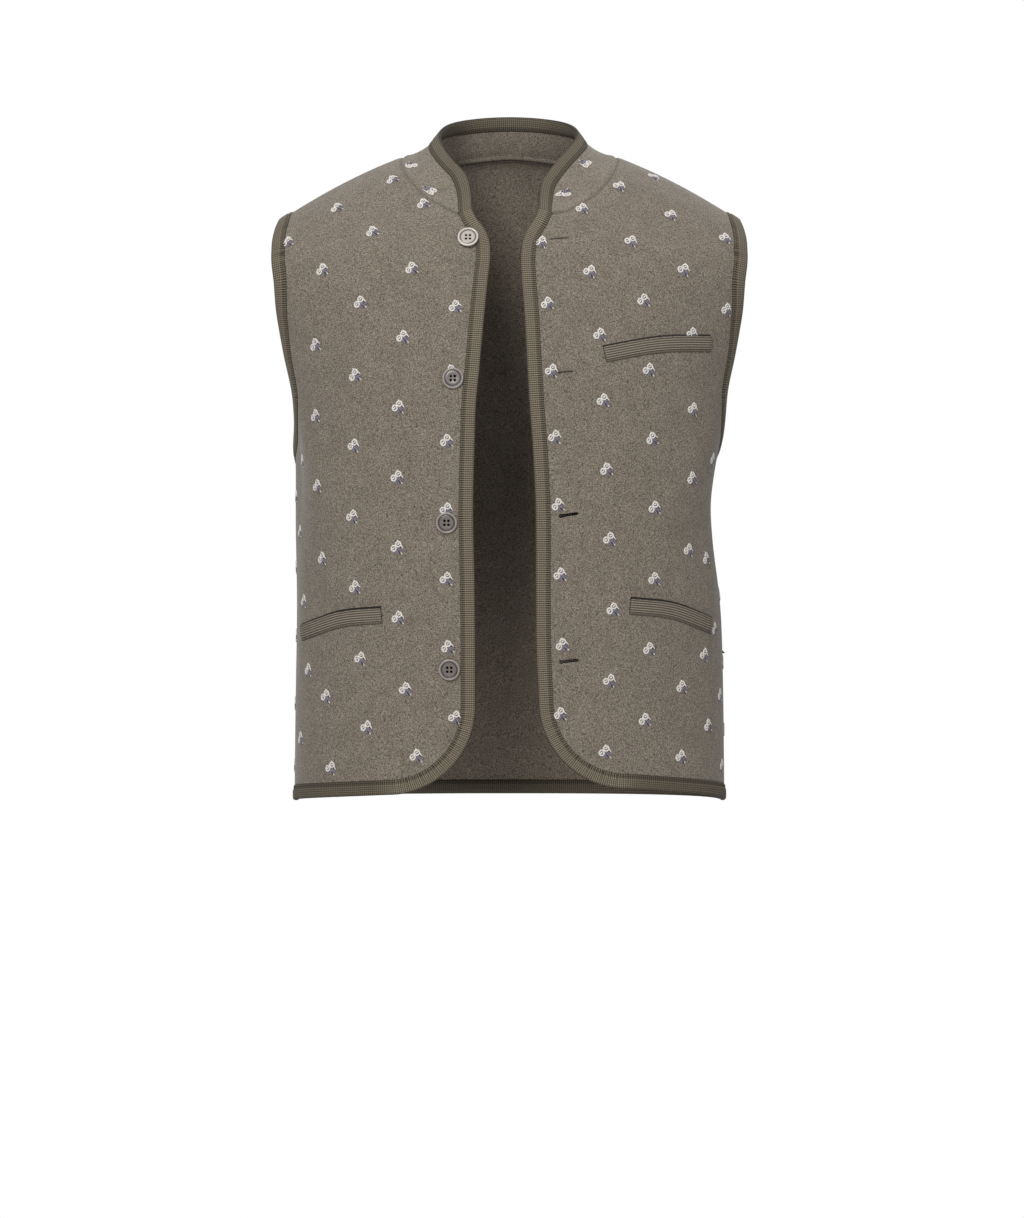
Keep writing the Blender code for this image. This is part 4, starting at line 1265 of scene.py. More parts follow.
@dataclass
class KnitTape:
    """A knitted tape folded over a cut edge, with its cross ribs."""

    name: str
    path: TapePath
    finish: Material
    rib_pitch: float = RIB_PITCH
    rib_height: float = 0.00042
    least_rib: float = 0.25
    inner: float = 0.0009
    ribbed_over: float = 0.0011
    profile: tuple = table(
        ProfilePoint,
        (0.0, 0.0), (0.0001, 0.0012), (0.0004, 0.002), (0.001, 0.00265),
        (0.002, 0.0026), (0.003, 0.00295), (0.004, 0.00275), (0.005, 0.003),
        (0.006, 0.00275), (0.007, 0.003), (0.008, 0.00275), (0.009, 0.0029),
        (0.01, 0.0025), (0.0106, 0.002), (0.0112, 0.0021), (0.0124, 0.0022),
        (0.0135, 0.002), (0.0142, 0.0016), (0.0145, 0.0009), (0.014, 0.0009),
        (0.0016, 0.0009), (0.0016, -0.0009), (0.014, -0.0009), (0.0145, -0.0011),
        (0.0138, -0.0019), (0.011, -0.0021), (0.009, -0.0026), (0.005, -0.0028),
        (0.0018, -0.0027), (0.0007, -0.0022), (0.0001, -0.0012))

    def build(self) -> Object:
        """Sweep the ribbed section along the tape.

        Returns:
            The tape as one closed piece.
        """
        around = len(self.profile)
        mesh, column, row = grid_mesh(self.name, self.path.sections, around)
        row %= around
        along = column * (self.rib_pitch / SECTIONS_PER_RIB)
        columns = [self.path.surface(point.distance) for point in self.profile]
        base = np.stack([points for points, _ in columns])
        normal = np.stack([normals for _, normals in columns])
        distance = np.array([point.distance for point in self.profile])[row]
        height = np.array([point.height for point in self.profile])[row]
        valley = 0.5 + 0.5 * np.cos(2.0 * math.pi * along / self.rib_pitch)
        outer = np.clip((np.abs(height) - self.inner) / self.ribbed_over, 0.0, 1.0)
        ribs = self.path.ribs[column]
        depth = self.rib_height * (self.least_rib + ribs) / (self.least_rib + 1.0)
        height = height - np.sign(height) * valley * outer * depth
        set_points(mesh, base[row, column] + normal[row, column] * height[:, None])
        across = np.where(height < 0.0, -distance, distance)
        set_flat(mesh, np.stack([along, across], axis=-1))
        # The rib strength also masks painted shade on weakly ribbed tape in the tape's finish
        set_share(mesh, "ribs", ribs)
        close_sweep(mesh, self.path.closed)
        return new_object(self.name, mesh, [self.finish])


def sections_for(length: float) -> int:
    """How many spans give each rib of a tape the same number of sections."""
    return SECTIONS_PER_RIB * round(length / RIB_PITCH)


class TapeRun(NamedTuple):
    """A line of a panel's edge, the half that it is on and a place well inside the panel."""

    half: Half
    line: Array
    towards: tuple[float, float]


@dataclass
class PanelTape:
    """The tape along one or more lines of a panel's edge, each on its own half."""

    name: str
    runs: Sequence[TapeRun]
    finish: Material
    closed: bool = False

    def build(self, ribs: Callable[[Array], Array]) -> Object:
        """Lay the tape over the panels' edges.

        Args:
            ribs: Gives the strength of the cross ribs for points in space.

        Returns:
            The tape.
        """
        marks, inward = [], []
        for half, line, towards in self.runs:
            points = half.plain_point(line)
            places = divide(points, line, sections_for(reach_along(points)[-1]))
            change = half.inward(places, towards)
            self.keep_on_seams(line, change)
            marks.append(places)
            inward.append(change)

        def surface(distance: float) -> tuple[Array, Array]:
            """Points and normals along the tape at a distance in from its fold."""
            points, normals = [], []
            for run, places, change in zip(self.runs, marks, inward):
                moved = places + change * distance
                first = 1 if points else 0
                points.append(run.half.point(moved)[first:])
                normals.append(run.half.normal(moved)[first:])
            points, normals = np.vstack(points), np.vstack(normals)
            if self.closed:
                points[-1], normals[-1] = points[0], normals[0]
            return points, normals

        strength = ribs(surface(0.0)[0])
        spans = sum(len(places) - 1 for places in marks)
        path = TapePath(surface, spans, strength, self.closed)
        return KnitTape(self.name, path, self.finish).build()

    @staticmethod
    def keep_on_seams(line: Array, change: Array) -> None:
        """Keep the ends of a tape on the side or shoulder seam that they start from."""
        for end in (0, -1):
            if abs(abs(line[end, 0]) - 1.0) < 1e-9:
                change[end, 0] = 0.0
            elif line[end, 1] < 1e-9:
                change[end, 1] = 0.0


class SprigRow(NamedTuple):
    """A stitch of a sprig: its ends on the cloth, half its width and its yarn."""

    start_x: float
    start_y: float
    end_x: float
    end_y: float
    half_width: float
    yarn: Thread


class RingRow(NamedTuple):
    """A stitched ring of a sprig: its middle and its two half widths."""

    x: float
    y: float
    wide: float
    high: float


@dataclass
class Sprigs:
    """Small embroidered sprigs, two ivory rings over a lilac leaf, joined into one piece."""

    name: str
    finishes: Sequence[Material]
    size: float = 1.08
    yarn: float = 0.00082
    strand_sides: int = 5
    ring_steps: int = 12
    ring_flatness: float = 0.7
    ring_lift: float = 0.0002
    pinch: float = 0.10
    pinches: float = 6.0
    stitch_flatness: float = 0.8
    stitch_lift: float = 0.0003
    rings: tuple = (
        RingRow(-0.0028, -0.0014, 0.0022, 0.0025),
        RingRow(0.0010, 0.0026, 0.0024, 0.0023),
    )
    stitches: tuple = (
        SprigRow(0.0010, 0.0054, 0.0000, 0.0058, 0.0006, Thread.IVORY),
        SprigRow(-0.0035, -0.0020, -0.0025, -0.0008, 0.0008, Thread.IVORY),
        SprigRow(0.0005, 0.0025, 0.0015, 0.0031, 0.0008, Thread.IVORY),
        SprigRow(0.0034, 0.0024, 0.0056, -0.0004, 0.0006, Thread.IVORY),
        SprigRow(0.0000, -0.0004, 0.0046, -0.0040, 0.0008, Thread.LILAC),
        SprigRow(0.0004, -0.0024, 0.0022, -0.0060, 0.0007, Thread.LILAC),
        SprigRow(0.0024, -0.0004, 0.0060, -0.0026, 0.0007, Thread.LILAC),
        SprigRow(0.0008, -0.0014, 0.0036, -0.0056, 0.0006, Thread.PLUM),
        SprigRow(0.0022, 0.0010, 0.0048, -0.0012, 0.0006, Thread.PLUM),
        SprigRow(-0.0010, -0.0036, 0.0004, -0.0056, 0.0006, Thread.LILAC),
        SprigRow(0.0044, -0.0044, 0.0054, -0.0056, 0.0005, Thread.IVORY),
    )

    def ring(self, shape: BMesh, row: RingRow) -> None:
        """Add a stitched ring to a sprig.

        Args:
            shape: The sprig so far.
            row: The ring.
        """
        first = len(shape.verts)
        strand = bmesh.ops.create_circle(shape, segments=self.strand_sides,
                                         radius=self.yarn)["verts"]
        turn = Matrix.Translation((1.0, 0.0, 0.0)) @ Matrix.Rotation(math.pi / 2.0, 4, "X")
        bmesh.ops.transform(shape, matrix=turn, verts=strand)
        loop = list({edge for vert in strand for edge in vert.link_edges})
        bmesh.ops.spin(shape, geom=strand + loop, cent=(0.0, 0.0, 0.0), axis=(0.0, 0.0, 1.0),
                       angle=2.0 * math.pi, steps=self.ring_steps, use_merge=True)
        shape.verts.ensure_lookup_table()
        for vert in shape.verts[first:]:
            outward = Vector((vert.co.x, vert.co.y))
            away = outward.length - 1.0
            angle = math.atan2(outward.y, outward.x)
            pinch = 1.0 + self.pinch * math.cos(self.pinches * angle)
            vert.co.x = row.x + math.cos(angle) * (row.wide + away * pinch)
            vert.co.y = row.y + math.sin(angle) * (row.high + away * pinch)
            vert.co.z = vert.co.z * self.ring_flatness * pinch + self.ring_lift

    def stitch(self, shape: BMesh, row: SprigRow) -> None:
        """Add a straight stitch to a sprig.

        Args:
            shape: The sprig so far.
            row: The stitch.
        """
        run = Vector((row.end_x - row.start_x, row.end_y - row.start_y))
        middle = Vector((row.start_x + row.end_x, row.start_y + row.end_y)) * 0.5
        size = Matrix.Diagonal((run.length * 0.5 + row.half_width, row.half_width,
                                row.half_width * self.stitch_flatness, 1.0))
        place = (Matrix.Translation((middle.x, middle.y, self.stitch_lift))
                 @ Matrix.Rotation(math.atan2(run.y, run.x), 4, "Z") @ size)
        made = bmesh.ops.create_uvsphere(shape, u_segments=6, v_segments=5, radius=1.0)["verts"]
        bmesh.ops.rotate(shape, verts=made, cent=(0.0, 0.0, 0.0),
                         matrix=Matrix.Rotation(math.pi / 2.0, 3, "Y"))
        bmesh.ops.transform(shape, matrix=place, verts=made)
        for face in {face for vert in made for face in vert.link_faces}:
            face.material_index = row.yarn

    def template(self) -> tuple[Mesh, Array]:
        """One sprig on flat cloth.

        Returns:
            Its mesh, and its vertices with x and y on the cloth and z off it.
        """
        shape = bmesh.new()
        for row in self.rings:
            self.ring(shape, row)
        for row in self.stitches:
            self.stitch(shape, row)
        bmesh.ops.recalc_face_normals(shape, faces=shape.faces)
        mesh = mesh_from(shape, "sprig")
        return mesh, get_points(mesh)

    def build(self, spots: Sequence, turns: Array,
              onto: Callable[[object, Array, Array, Array], Array]
              ) -> Object:
        """Sew a sprig at each spot.

        Args:
            spots: The sprigs' middles, in the terms of onto.
            turns: How far each sprig is turned, in radians.
            onto: Carries a spot, distances across and up from it and heights off the cloth into
                space.

        Returns:
            All the sprigs as one piece.
        """
        sprig, corners = self.template()
        corners = corners * self.size
        shape = bmesh.new()
        for _ in spots:
            shape.from_mesh(sprig)
        mesh = bpy.data.meshes.new(self.name)
        shape.to_mesh(mesh)
        x, y, height = corners.T
        points = []
        for spot, turn in zip(spots, turns):
            c, s = math.cos(turn), math.sin(turn)
            points.append(onto(spot, c * x - s * y, s * x + c * y, height))
        set_points(mesh, np.vstack(points))
        shape.clear()
        shape.from_mesh(mesh)
        bmesh.ops.recalc_face_normals(shape, faces=shape.faces)
        shape.to_mesh(mesh)
        shape.free()
        return new_object(self.name, mesh, self.finishes)


@dataclass
class WoolPanel:
    """A cut piece of felted wool: a flat outline filled, divided by level and upright cuts, given
    its worn form and its thickness."""

    name: str
    half: Half
    outline: Array
    seams: Sequence[tuple[Array, float]]
    finish: Material
    step: float = 0.0055
    ditch_width: float = 0.0016
    cut_reach: float = 1e-7

    def build(self) -> Object:
        """Make the panel.

        Returns:
            The panel with its thickness.
        """
        shape = bmesh.new()
        corners = [shape.verts.new((x, y, 0.0)) for x, y in self.outline]
        inner = shape.faces.new(corners)
        for _ in range(2):
            bmesh.ops.inset_region(shape, faces=[inner], thickness=self.ditch_width,
                                   use_boundary=True, use_even_offset=True)
            inner = max(shape.faces, key=lambda face: face.calc_area())
        low, high = self.outline.min(axis=0), self.outline.max(axis=0)
        for axis in (0, 1):
            way = Vector((axis == 0, axis == 1, 0.0))
            for mark in np.arange(low[axis] + self.step, high[axis], self.step):
                everything = shape.verts[:] + shape.edges[:] + shape.faces[:]
                bmesh.ops.bisect_plane(shape, geom=everything, plane_co=way * float(mark),
                                       plane_no=way, dist=self.cut_reach)
        mesh = mesh_from(shape, self.name)
        flat = get_points(mesh)[:, :2]
        places = self.half.gather(flat)
        sunk = np.zeros(len(flat))
        for seam, depth in self.seams:
            gap = distance_to(seam, flat)
            sunk = np.maximum(sunk, depth * np.exp(-(gap / self.ditch_width) ** 2))
        # The seam share masks the painted shade along the seam ditches in the wool's finish
        set_share(mesh, "seam", sunk / NECK_DITCH)
        set_points(mesh, self.half.point(places, -sunk))
        set_flat(mesh, flat)
        face_outward(mesh, self.half.normal(places))
        return thicken(new_object(self.name, mesh, [self.finish]), even=True)


@dataclass
class Collar:
    """Stand collar on straight rulings from the neck seam to its outer edge."""

    finish: Material
    bow: float = 0.003
    rows: int = 15
    ruling_step: float = 0.003
    blend_length: float = 0.020
    per_span: int = 12
    near_seam: tuple = (0.0, 0.0008, 0.0018, 0.0032, 0.0050, 0.0072)
    ditch_width: float = 0.0018
    ridge: float = 0.0006
    ridge_place: float = 0.0048
    ridge_width: float = 0.0022
    bow_from: float = 0.015
    bow_over: float = 0.030
    rib_strength: float = 0.5
    seam: Array = field(init=False)
    edge: Array = field(init=False)
    along: Array = field(init=False)
    width: Array = field(init=False)
    outward: Array = field(init=False)
    bows: Array = field(init=False)

    def rulings(self, count_for: Callable[[float], int]) -> None:
        """Work out the collar's rulings from its right front end round to its left one.

        Args:
            count_for: Gives the number of spans for a run of the outer edge of some length.
        """
        seams, edges = [], []
        for side in Side:
            seam, edge = self.one_side(side, count_for)
            seams.append(seam)
            edges.append(edge)
        self.seam = np.vstack([seams[0], seams[1][-2::-1]])
        self.edge = np.vstack([edges[0], edges[1][-2::-1]])
        self.along = reach_along(self.edge)
        middle = 0.5 * (self.seam + self.edge)
        rise = self.edge - self.seam
        self.width = np.linalg.norm(rise, axis=1)
        outward = unit(np.cross(rise, np.gradient(middle, axis=0)))
        for end, side in ((0, Side.RIGHT), (-1, Side.LEFT)):
            own = FRONT.normal(front_outline(side)[-1])
            away = np.abs(self.along - self.along[end])
            share = ease(away / self.blend_length)[:, None]
            outward = unit(outward * share + own * (1.0 - share))
        self.outward = outward
        self.bows = self.bow * np.clip((self.width - self.bow_from) / self.bow_over, 0.0, 1.0)

    def one_side(self, side: Side, count_for: Callable[[float], int]
                 ) -> tuple[Array, Array]:
        """One side of the collar, from its front end to the middle of the back.

        Args:
            side: Which side.
            count_for: Gives the number of spans for a run of the outer edge of some length.

        Returns:
            The points of the seam and those of the outer edge.
        """
        top = FRONT.point(front_outline(side)[-1])
        front_rows, back_rows = [[(side * getattr(row, side.word), row.y, row.z) for row in table]
                                 for table in (COLLAR_EDGE, COLLAR_EDGE_BACK)]
        mirrored = [(-x, y, z) for x, y, z in back_rows[::-1]]
        whole = smooth_curve([top] + front_rows + back_rows + [COLLAR_BACK] + mirrored,
                             self.per_span)
        joint = self.per_span * len(front_rows)
        back_end = joint + self.per_span * (len(back_rows) + 1)
        seam, edge = [], []
        runs = ((FRONT, front_neck(side), whole[:joint + 1]),
                (BACK, back_neck(side), whole[joint:back_end + 1]))
        for half, line, outer in runs:
            count = count_for(reach_along(outer)[-1])
            first = 1 if seam else 0
            seam.append(half.point(divide(half.plain_point(line), line, count))[first:])
            edge.append(divide(outer, outer, count)[first:])
        return np.vstack(seam), np.vstack(edge)

    def surface(self, distance: Array | float) -> tuple[Array, Array]:
        """The collar at a distance in from its outer edge.

        Args:
            distance: The distance, one for all rulings or one for each.

        Returns:
            The points and the outward directions, one for each ruling.
        """
        way = (self.edge - self.seam) / self.width[:, None]
        share = 1.0 - distance / self.width
        dip = self.bows * 4.0 * share * (1.0 - share)
        tilt = self.bows * 4.0 * (1.0 - 2.0 * share) / self.width
        points = self.edge - way * np.asarray(distance)[..., None] - self.outward * dip[:, None]
        return points, unit(self.outward + way * tilt[:, None])

    def build(self) -> Object:
        """Make the collar's wool, from the neck seam to the cut edge inside the tape."""
        self.rulings(lambda length: round(length / self.ruling_step))
        mesh, column, row = grid_mesh("collar", len(self.seam) - 1, self.rows)
        near = self.near_seam
        levels = []
        for index in range(self.rows + 1):
            if index < len(near):
                rise = np.full(len(self.seam), near[index])
            else:
                share = (index - len(near) + 1) / (self.rows - len(near) + 1)
                rise = near[-1] + (self.width - TAPE_REACH - near[-1]) * share
            points, normals = self.surface(self.width - rise)
            ditch = np.exp(-(rise / self.ditch_width) ** 2)
            ridge = np.exp(-((rise - self.ridge_place) / self.ridge_width) ** 2)
            sunk = NECK_DITCH * ditch - self.ridge * ridge
            levels.append((points - normals * sunk[:, None], normals, rise, ditch))
        points, normals, rise, ditch = (np.stack(table)[row, column] for table in zip(*levels))
        # The seam share masks the painted shade along the neck seam ditch in the wool's finish
        set_share(mesh, "seam", ditch)
        set_points(mesh, points)
        set_flat(mesh, np.stack([self.along[column], rise], axis=-1))
        face_outward(mesh, normals)
        return thicken(new_object("wool_collar", mesh, [self.finish]), even=False)

    def build_tape(self, finish: Material) -> Object:
        """Make the knitted tape over the collar's outer edge."""
        self.rulings(sections_for)
        strength = np.full(len(self.seam), self.rib_strength)
        path = TapePath(self.surface, len(self.seam) - 1, strength)
        return KnitTape("knit_tape_collar", path, finish).build()

    def onto(self, spot: tuple[float, float], x: Array, y: Array,
             height: Array) -> Array:
        """Carry a sprig onto the collar.

        Args:
            spot: Its distance along the collar from the right front end, and up from the seam.
            x: Distances to the right of it, seen from outside.
            y: Distances up from it.
            height: Heights off the wool's outer face.

        Returns:
            The points in space.
        """
        along, up = spot[0] - x, spot[1] + y
        seam, edge, outward = [
            np.stack([np.interp(along, self.along, values) for values in table.T], axis=-1)
            for table in (self.seam, self.edge, self.outward)]
        rise = edge - seam
        share = up / np.linalg.norm(rise, axis=1)
        dip = np.interp(along, self.along, self.bows) * 4.0 * share * (1.0 - share)
        lift = 0.5 * WOOL_THICK + height - dip
        return seam + rise * share[:, None] + unit(outward) * lift[:, None]


class WeltRow(NamedTuple):
    """A welt's name, the node that it stands for and its middle line seen from the front."""

    name: str
    node: str
    start_x: float
    start_z: float
    middle_x: float
    middle_z: float
    end_x: float
    end_z: float


@dataclass
class Welt:
    """Knitted welt on a pocket mouth: lengthwise wales, a stitched lower margin, and a lip past its
    top edge painted as the mouth's shadow.
    """

    row: WeltRow
    finish: Material
    half_width: float = 0.00775
    wales: int = 6
    wale_height: float = 0.00030
    margin: float = 0.0020
    margin_height: float = 0.0021
    margin_wale: float = 0.7
    ditch_share: float = 0.06
    ditch_height: float = 0.0017
    low_height: float = 0.0020
    crown_rise: float = 0.0014
    crown_pace: float = 2.2
    section_points: int = 41
    foot: float = 0.0009
    foot_share: float = 0.35
    end_length: float = 0.0022
    knit_height: float = 0.00010
    knit_pitch: float = 0.0014
    knit_above: float = 0.0016
    step: float = 0.0007
    flat: tuple = field(init=False)

    def profile(self) -> Array:
        """The welt's section, from its lower edge up and round the pocket mouth.

        Returns:
            Each point's distance up from the welt's middle line, its height off the cloth's middle
            and how far it is up a wale.
        """
        half, full = self.half_width, 2.0 * self.half_width
        points = [(-half, 0.0010, 0.0), (-half, 0.0016, 0.0)]
        for share in np.linspace(0.02, 0.98, self.section_points):
            across = -half + full * share
            height = self.low_height + self.crown_rise * ease(np.array(share * self.crown_pace))
            above = (across + half - self.margin) / (full - self.margin)
            wale = 0.5 - 0.5 * math.cos(2.0 * math.pi * self.wales * above)
            if above < 0.0:
                height, wale = self.margin_height, self.margin_wale
            elif above < self.ditch_share:
                height, wale = self.ditch_height, 0.0
            else:
                height += self.wale_height * (2.0 * wale - 1.0)
            points.append((across, float(height), wale))
        # A lip past the top edge, lying low on the cloth, carries the painted shadow of the pocket
        # mouth
        points += [(half, 0.0027, 0.2), (half + 0.0001, 0.0014, 0.0),
                   (half + 0.0014, 0.0012, 0.0), (half + 0.0015, 0.0009, 0.0)]
        return np.array(points)

    def build(self) -> Object:
        """Make the welt and lay it on its front."""
        row = self.row
        middle = smooth_curve(((row.start_x, row.start_z), (row.middle_x, row.middle_z),
                               (row.end_x, row.end_z)))
        line = FRONT.locate_all(middle)
        points = FRONT.plain_point(line)
        length = reach_along(points)[-1]
        count = round(length / self.step)
        marks = divide(points, line, count)
        up = FRONT.inward(marks, (marks[0][0], 0.0))
        section = self.profile()
        mesh, column, level = grid_mesh(row.name, count, len(section))
        across, height, wale = section[level % len(section)].T
        along = column / count * length
        end = np.minimum(along, length - along)
        round_end = np.sqrt(np.clip(end / self.end_length, 0.0, 1.0))
        knit = self.knit_height * np.cos(2.0 * math.pi * along / self.knit_pitch)
        full_share = self.foot_share + (1.0 - self.foot_share) * round_end
        height = self.foot + (height - self.foot) * full_share
        height += np.where(height > self.knit_above, knit, 0.0)
        set_points(mesh, FRONT.point(marks[column] + up[column] * across[:, None], height))
        set_flat(mesh, np.stack([along, across], axis=-1))
        set_share(mesh, "end", end)
        # The wale share also masks painted shade between the wales in the welt's finish
        set_share(mesh, "wale", wale)
        close_sweep(mesh)
        self.flat = (2.0 * self.half_width, length)
        return new_object(row.name, mesh, [self.finish])


class RimPoint(NamedTuple):
    """A point of the button's section: its radius and its height over the back."""

    radius: float
    height: float


class SeatRow(NamedTuple):
    """Where a button is sewn, seen from the front, and whether that is on the tape."""

    x: float
    z: float
    on_tape: bool


@dataclass
class Button:
    """Turned four-hole horn button with a raised rim, on a near-black thread shank that paints the
    shade seen through its holes.
    """

    number: int
    seat: SeatRow
    finish: Material
    thread: Material
    steps: int = 72
    hole_place: float = 0.0019
    hole_radius: float = 0.0013
    hole_sides: int = 20
    drill_length: float = 0.006
    face_height: float = 0.001
    groove: tuple[float, float] = (0.0069, 0.0079)
    groove_blend: float = 0.0004
    rim: float = 0.0084
    rim_blend: float = 0.0005
    clear: float = 0.0003
    tape_thick: float = 0.0018
    shank_radius: float = 0.0040
    shank_top: float = 0.0008
    profile: tuple = table(
        RimPoint,
        (0.0, 0.0), (0.0087, 0.0), (0.0096, 0.0003), (0.01005, 0.001),
        (0.0101, 0.0017), (0.0098, 0.0024), (0.0093, 0.0027), (0.0087, 0.0027),
        (0.0082, 0.0023), (0.0078, 0.0019), (0.0074, 0.00175), (0.007, 0.0019),
        (0.0063, 0.00205), (0.0045, 0.0019), (0.0025, 0.0017), (0.0, 0.00165))

    def blank(self) -> Object:
        """The turned button about its own middle, back face down."""
        shape = bmesh.new()
        rim = [shape.verts.new((point.radius, 0.0, point.height)) for point in self.profile]
        lines = [shape.edges.new(pair) for pair in zip(rim, rim[1:])]
        bmesh.ops.spin(shape, geom=rim + lines, cent=(0.0, 0.0, 0.0), axis=(0.0, 0.0, 1.0),
                       angle=2.0 * math.pi, steps=self.steps, use_merge=True)
        bmesh.ops.remove_doubles(shape, verts=shape.verts, dist=WELD)
        return piece_from(shape, f"horn_button_{self.number}", self.finish)

    def drills(self) -> Object:
        """Four round drills through the button's holes."""
        shape = bmesh.new()
        for x in (-self.hole_place, self.hole_place):
            for y in (-self.hole_place, self.hole_place):
                place = Matrix.Translation((x, y, self.face_height))
                bmesh.ops.create_cone(shape, cap_ends=True, segments=self.hole_sides,
                                      radius1=self.hole_radius, radius2=self.hole_radius,
                                      depth=self.drill_length, matrix=place)
        return piece_from(shape, "drills", self.finish)

    def shank(self, seat: Matrix) -> Object:
        """The wound thread behind the holes, near black as painted shade.

        Args:
            seat: The button's own place.

        Returns:
            The thread as one piece.
        """
        shape = bmesh.new()
        size = Matrix.Diagonal((self.shank_radius, self.shank_radius, self.shank_top, 1.0))
        bmesh.ops.create_uvsphere(shape, u_segments=16, v_segments=8, radius=1.0,
                                  matrix=seat @ size)
        return piece_from(shape, f"shadow_shank_button_{self.number}", self.thread)

    def build(self) -> tuple[Object, Object]:
        """Make the button and its shank and sew them on.

        Returns:
            The button and its thread.
        """
        button = self.blank()
        cut_out(button, self.drills())
        points = get_points(button.data)
        radius = np.hypot(points[:, 0], points[:, 1])
        face = points[:, 2] > self.face_height
        low, high = self.groove
        blend = self.groove_blend
        hollow = ease((radius - low + blend) / blend) * ease((high + blend - radius) / blend)
        # Masks for the painted shade in the groove and the painted highlight on the rim
        set_share(button.data, "groove", hollow * face)
        set_share(button.data, "rim", ease((radius - self.rim) / self.rim_blend) * face)
        place = np.array(FRONT.locate(self.seat.x, self.seat.z))
        stand = 0.5 * WOOL_THICK + self.clear + (self.tape_thick if self.seat.on_tape else 0.0)
        spot = Vector(FRONT.point(place, stand))
        facing = Vector(FRONT.normal(place)).to_track_quat("Z", "Y").to_matrix().to_4x4()
        seat = Matrix.Translation(spot) @ facing
        button.data.transform(seat)
        button.data.shade_smooth()
        return button, self.shank(seat)


class HoleRow(NamedTuple):
    """A keyhole buttonhole from its eye to its far end, and how far it gapes."""

    eye_x: float
    eye_z: float
    end_x: float
    end_z: float
    gape: float
    eye: float


@dataclass
class Buttonholes:
    """Keyhole buttonholes cut through the left front, their edges worked over in near-black thread
    that paints the shade in the slits.
    """

    thread: Material
    rows: tuple = (
        HoleRow(0.0400, -0.0955, 0.0565, -0.0940, 0.00030, 0.0007),
        HoleRow(0.0430, -0.2265, 0.0600, -0.2250, 0.00030, 0.0007),
        HoleRow(0.0490, -0.3625, 0.0650, -0.3600, 0.00050, 0.0012),
        HoleRow(0.0495, -0.5015, 0.0655, -0.4995, 0.00050, 0.0011),
    )
    eye_points: int = 14
    cutter_depth: float = 0.008
    stitch_step: float = 0.0010
    stitch_clear: float = 0.0001
    stitch_out: float = 0.1
    stitch_reach: float = 0.0013
    stitch_heights: tuple = (0.0008, 0.0010)
    stitch_size: tuple = (0.65, 0.6, 0.4)

    def outline(self, row: HoleRow, grow: float = 0.0) -> Array:
        """Flat outline of one hole.

        Args:
            row: The hole.
            grow: How far to widen it.

        Returns:
            The outline's points in the flat layout.
        """
        eye, end = FRONT.spread(FRONT.locate_all([(row.eye_x, row.eye_z), (row.end_x, row.end_z)]))
        along = unit(end - eye)
        across = np.array((-along[1], along[0]))
        half = row.gape + grow
        points = [end + along * (grow - half) - across * half, end + along * grow,
                  end + along * (grow - half) + across * half]
        size = row.eye + grow
        opening = math.asin(min(0.95, half / size))
        for angle in np.linspace(opening, 2.0 * math.pi - opening, self.eye_points):
            points.append(eye + size * (math.cos(angle) * along + math.sin(angle) * across))
        return np.array(points)

    def cut(self, panel: Object) -> None:
        """Cut the holes through the left front."""
        shape = bmesh.new()
        for row in self.rows:
            places = FRONT.gather(self.outline(row))
            way = Vector(FRONT.normal(places[0]))
            corners = [shape.verts.new(point)
                       for point in FRONT.point(places, -0.5 * self.cutter_depth)]
            face = shape.faces.new(corners)
            grown = bmesh.ops.extrude_face_region(shape, geom=[face], use_keep_orig=True)["geom"]
            moved = [part for part in grown if isinstance(part, BMVert)]
            bmesh.ops.translate(shape, vec=way * self.cutter_depth, verts=moved)
        bmesh.ops.recalc_face_normals(shape, faces=shape.faces)
        cut_out(panel, new_object("hole_cutter", mesh_from(shape, "hole_cutter"), []))

    def stitch(self) -> Object:
        """Work the edges over with small near-black stitches, painted shade round the slits."""
        shape = bmesh.new()
        low, high = self.stitch_heights
        for row in self.rows:
            inner = self.outline(row, self.stitch_clear)
            loop = np.vstack([inner, inner[:1]])
            marks = divide(loop, loop, round(reach_along(loop)[-1] / self.stitch_step))[:-1]
            runs = np.roll(marks, -1, axis=0) - np.roll(marks, 1, axis=0)
            away = unit(np.stack([runs[:, 1], -runs[:, 0]], axis=-1))
            away *= np.sign(np.sum(away * (marks - inner.mean(axis=0)), axis=1))[:, None]
            size = Matrix.Diagonal([row.eye * share for share in self.stitch_size] + [1.0])
            spots = FRONT.gather(marks + away * row.eye * self.stitch_out)
            for place, end in zip(spots, FRONT.gather(marks + away * self.stitch_reach)):
                spot = Vector(FRONT.point(place, low))
                way = Vector(FRONT.point(end, high)) - spot
                normal = Vector(FRONT.normal(place))
                side = normal.cross(way).normalized()
                turn = Matrix((way.normalized(), side, normal)).transposed().to_4x4()
                made = bmesh.ops.create_uvsphere(shape, u_segments=6, v_segments=5,
                                                 radius=1.0)["verts"]
                bmesh.ops.transform(shape, matrix=Matrix.Translation(spot) @ turn @ size,
                                    verts=made)
        return piece_from(shape, "buttonhole_shadow_stitches", self.thread)


class SprigColumn(NamedTuple):
    """A column of sprigs at one flat distance from the garment's middle."""

    x: float
    heights: tuple


class CollarSprig(NamedTuple):
    """A sprig on the collar: the share of the collar's length that it is measured from, how far
    it is from there and up from the neck seam, and its turn in radians."""

    share: float
    along: float
    up: float
    turn: float


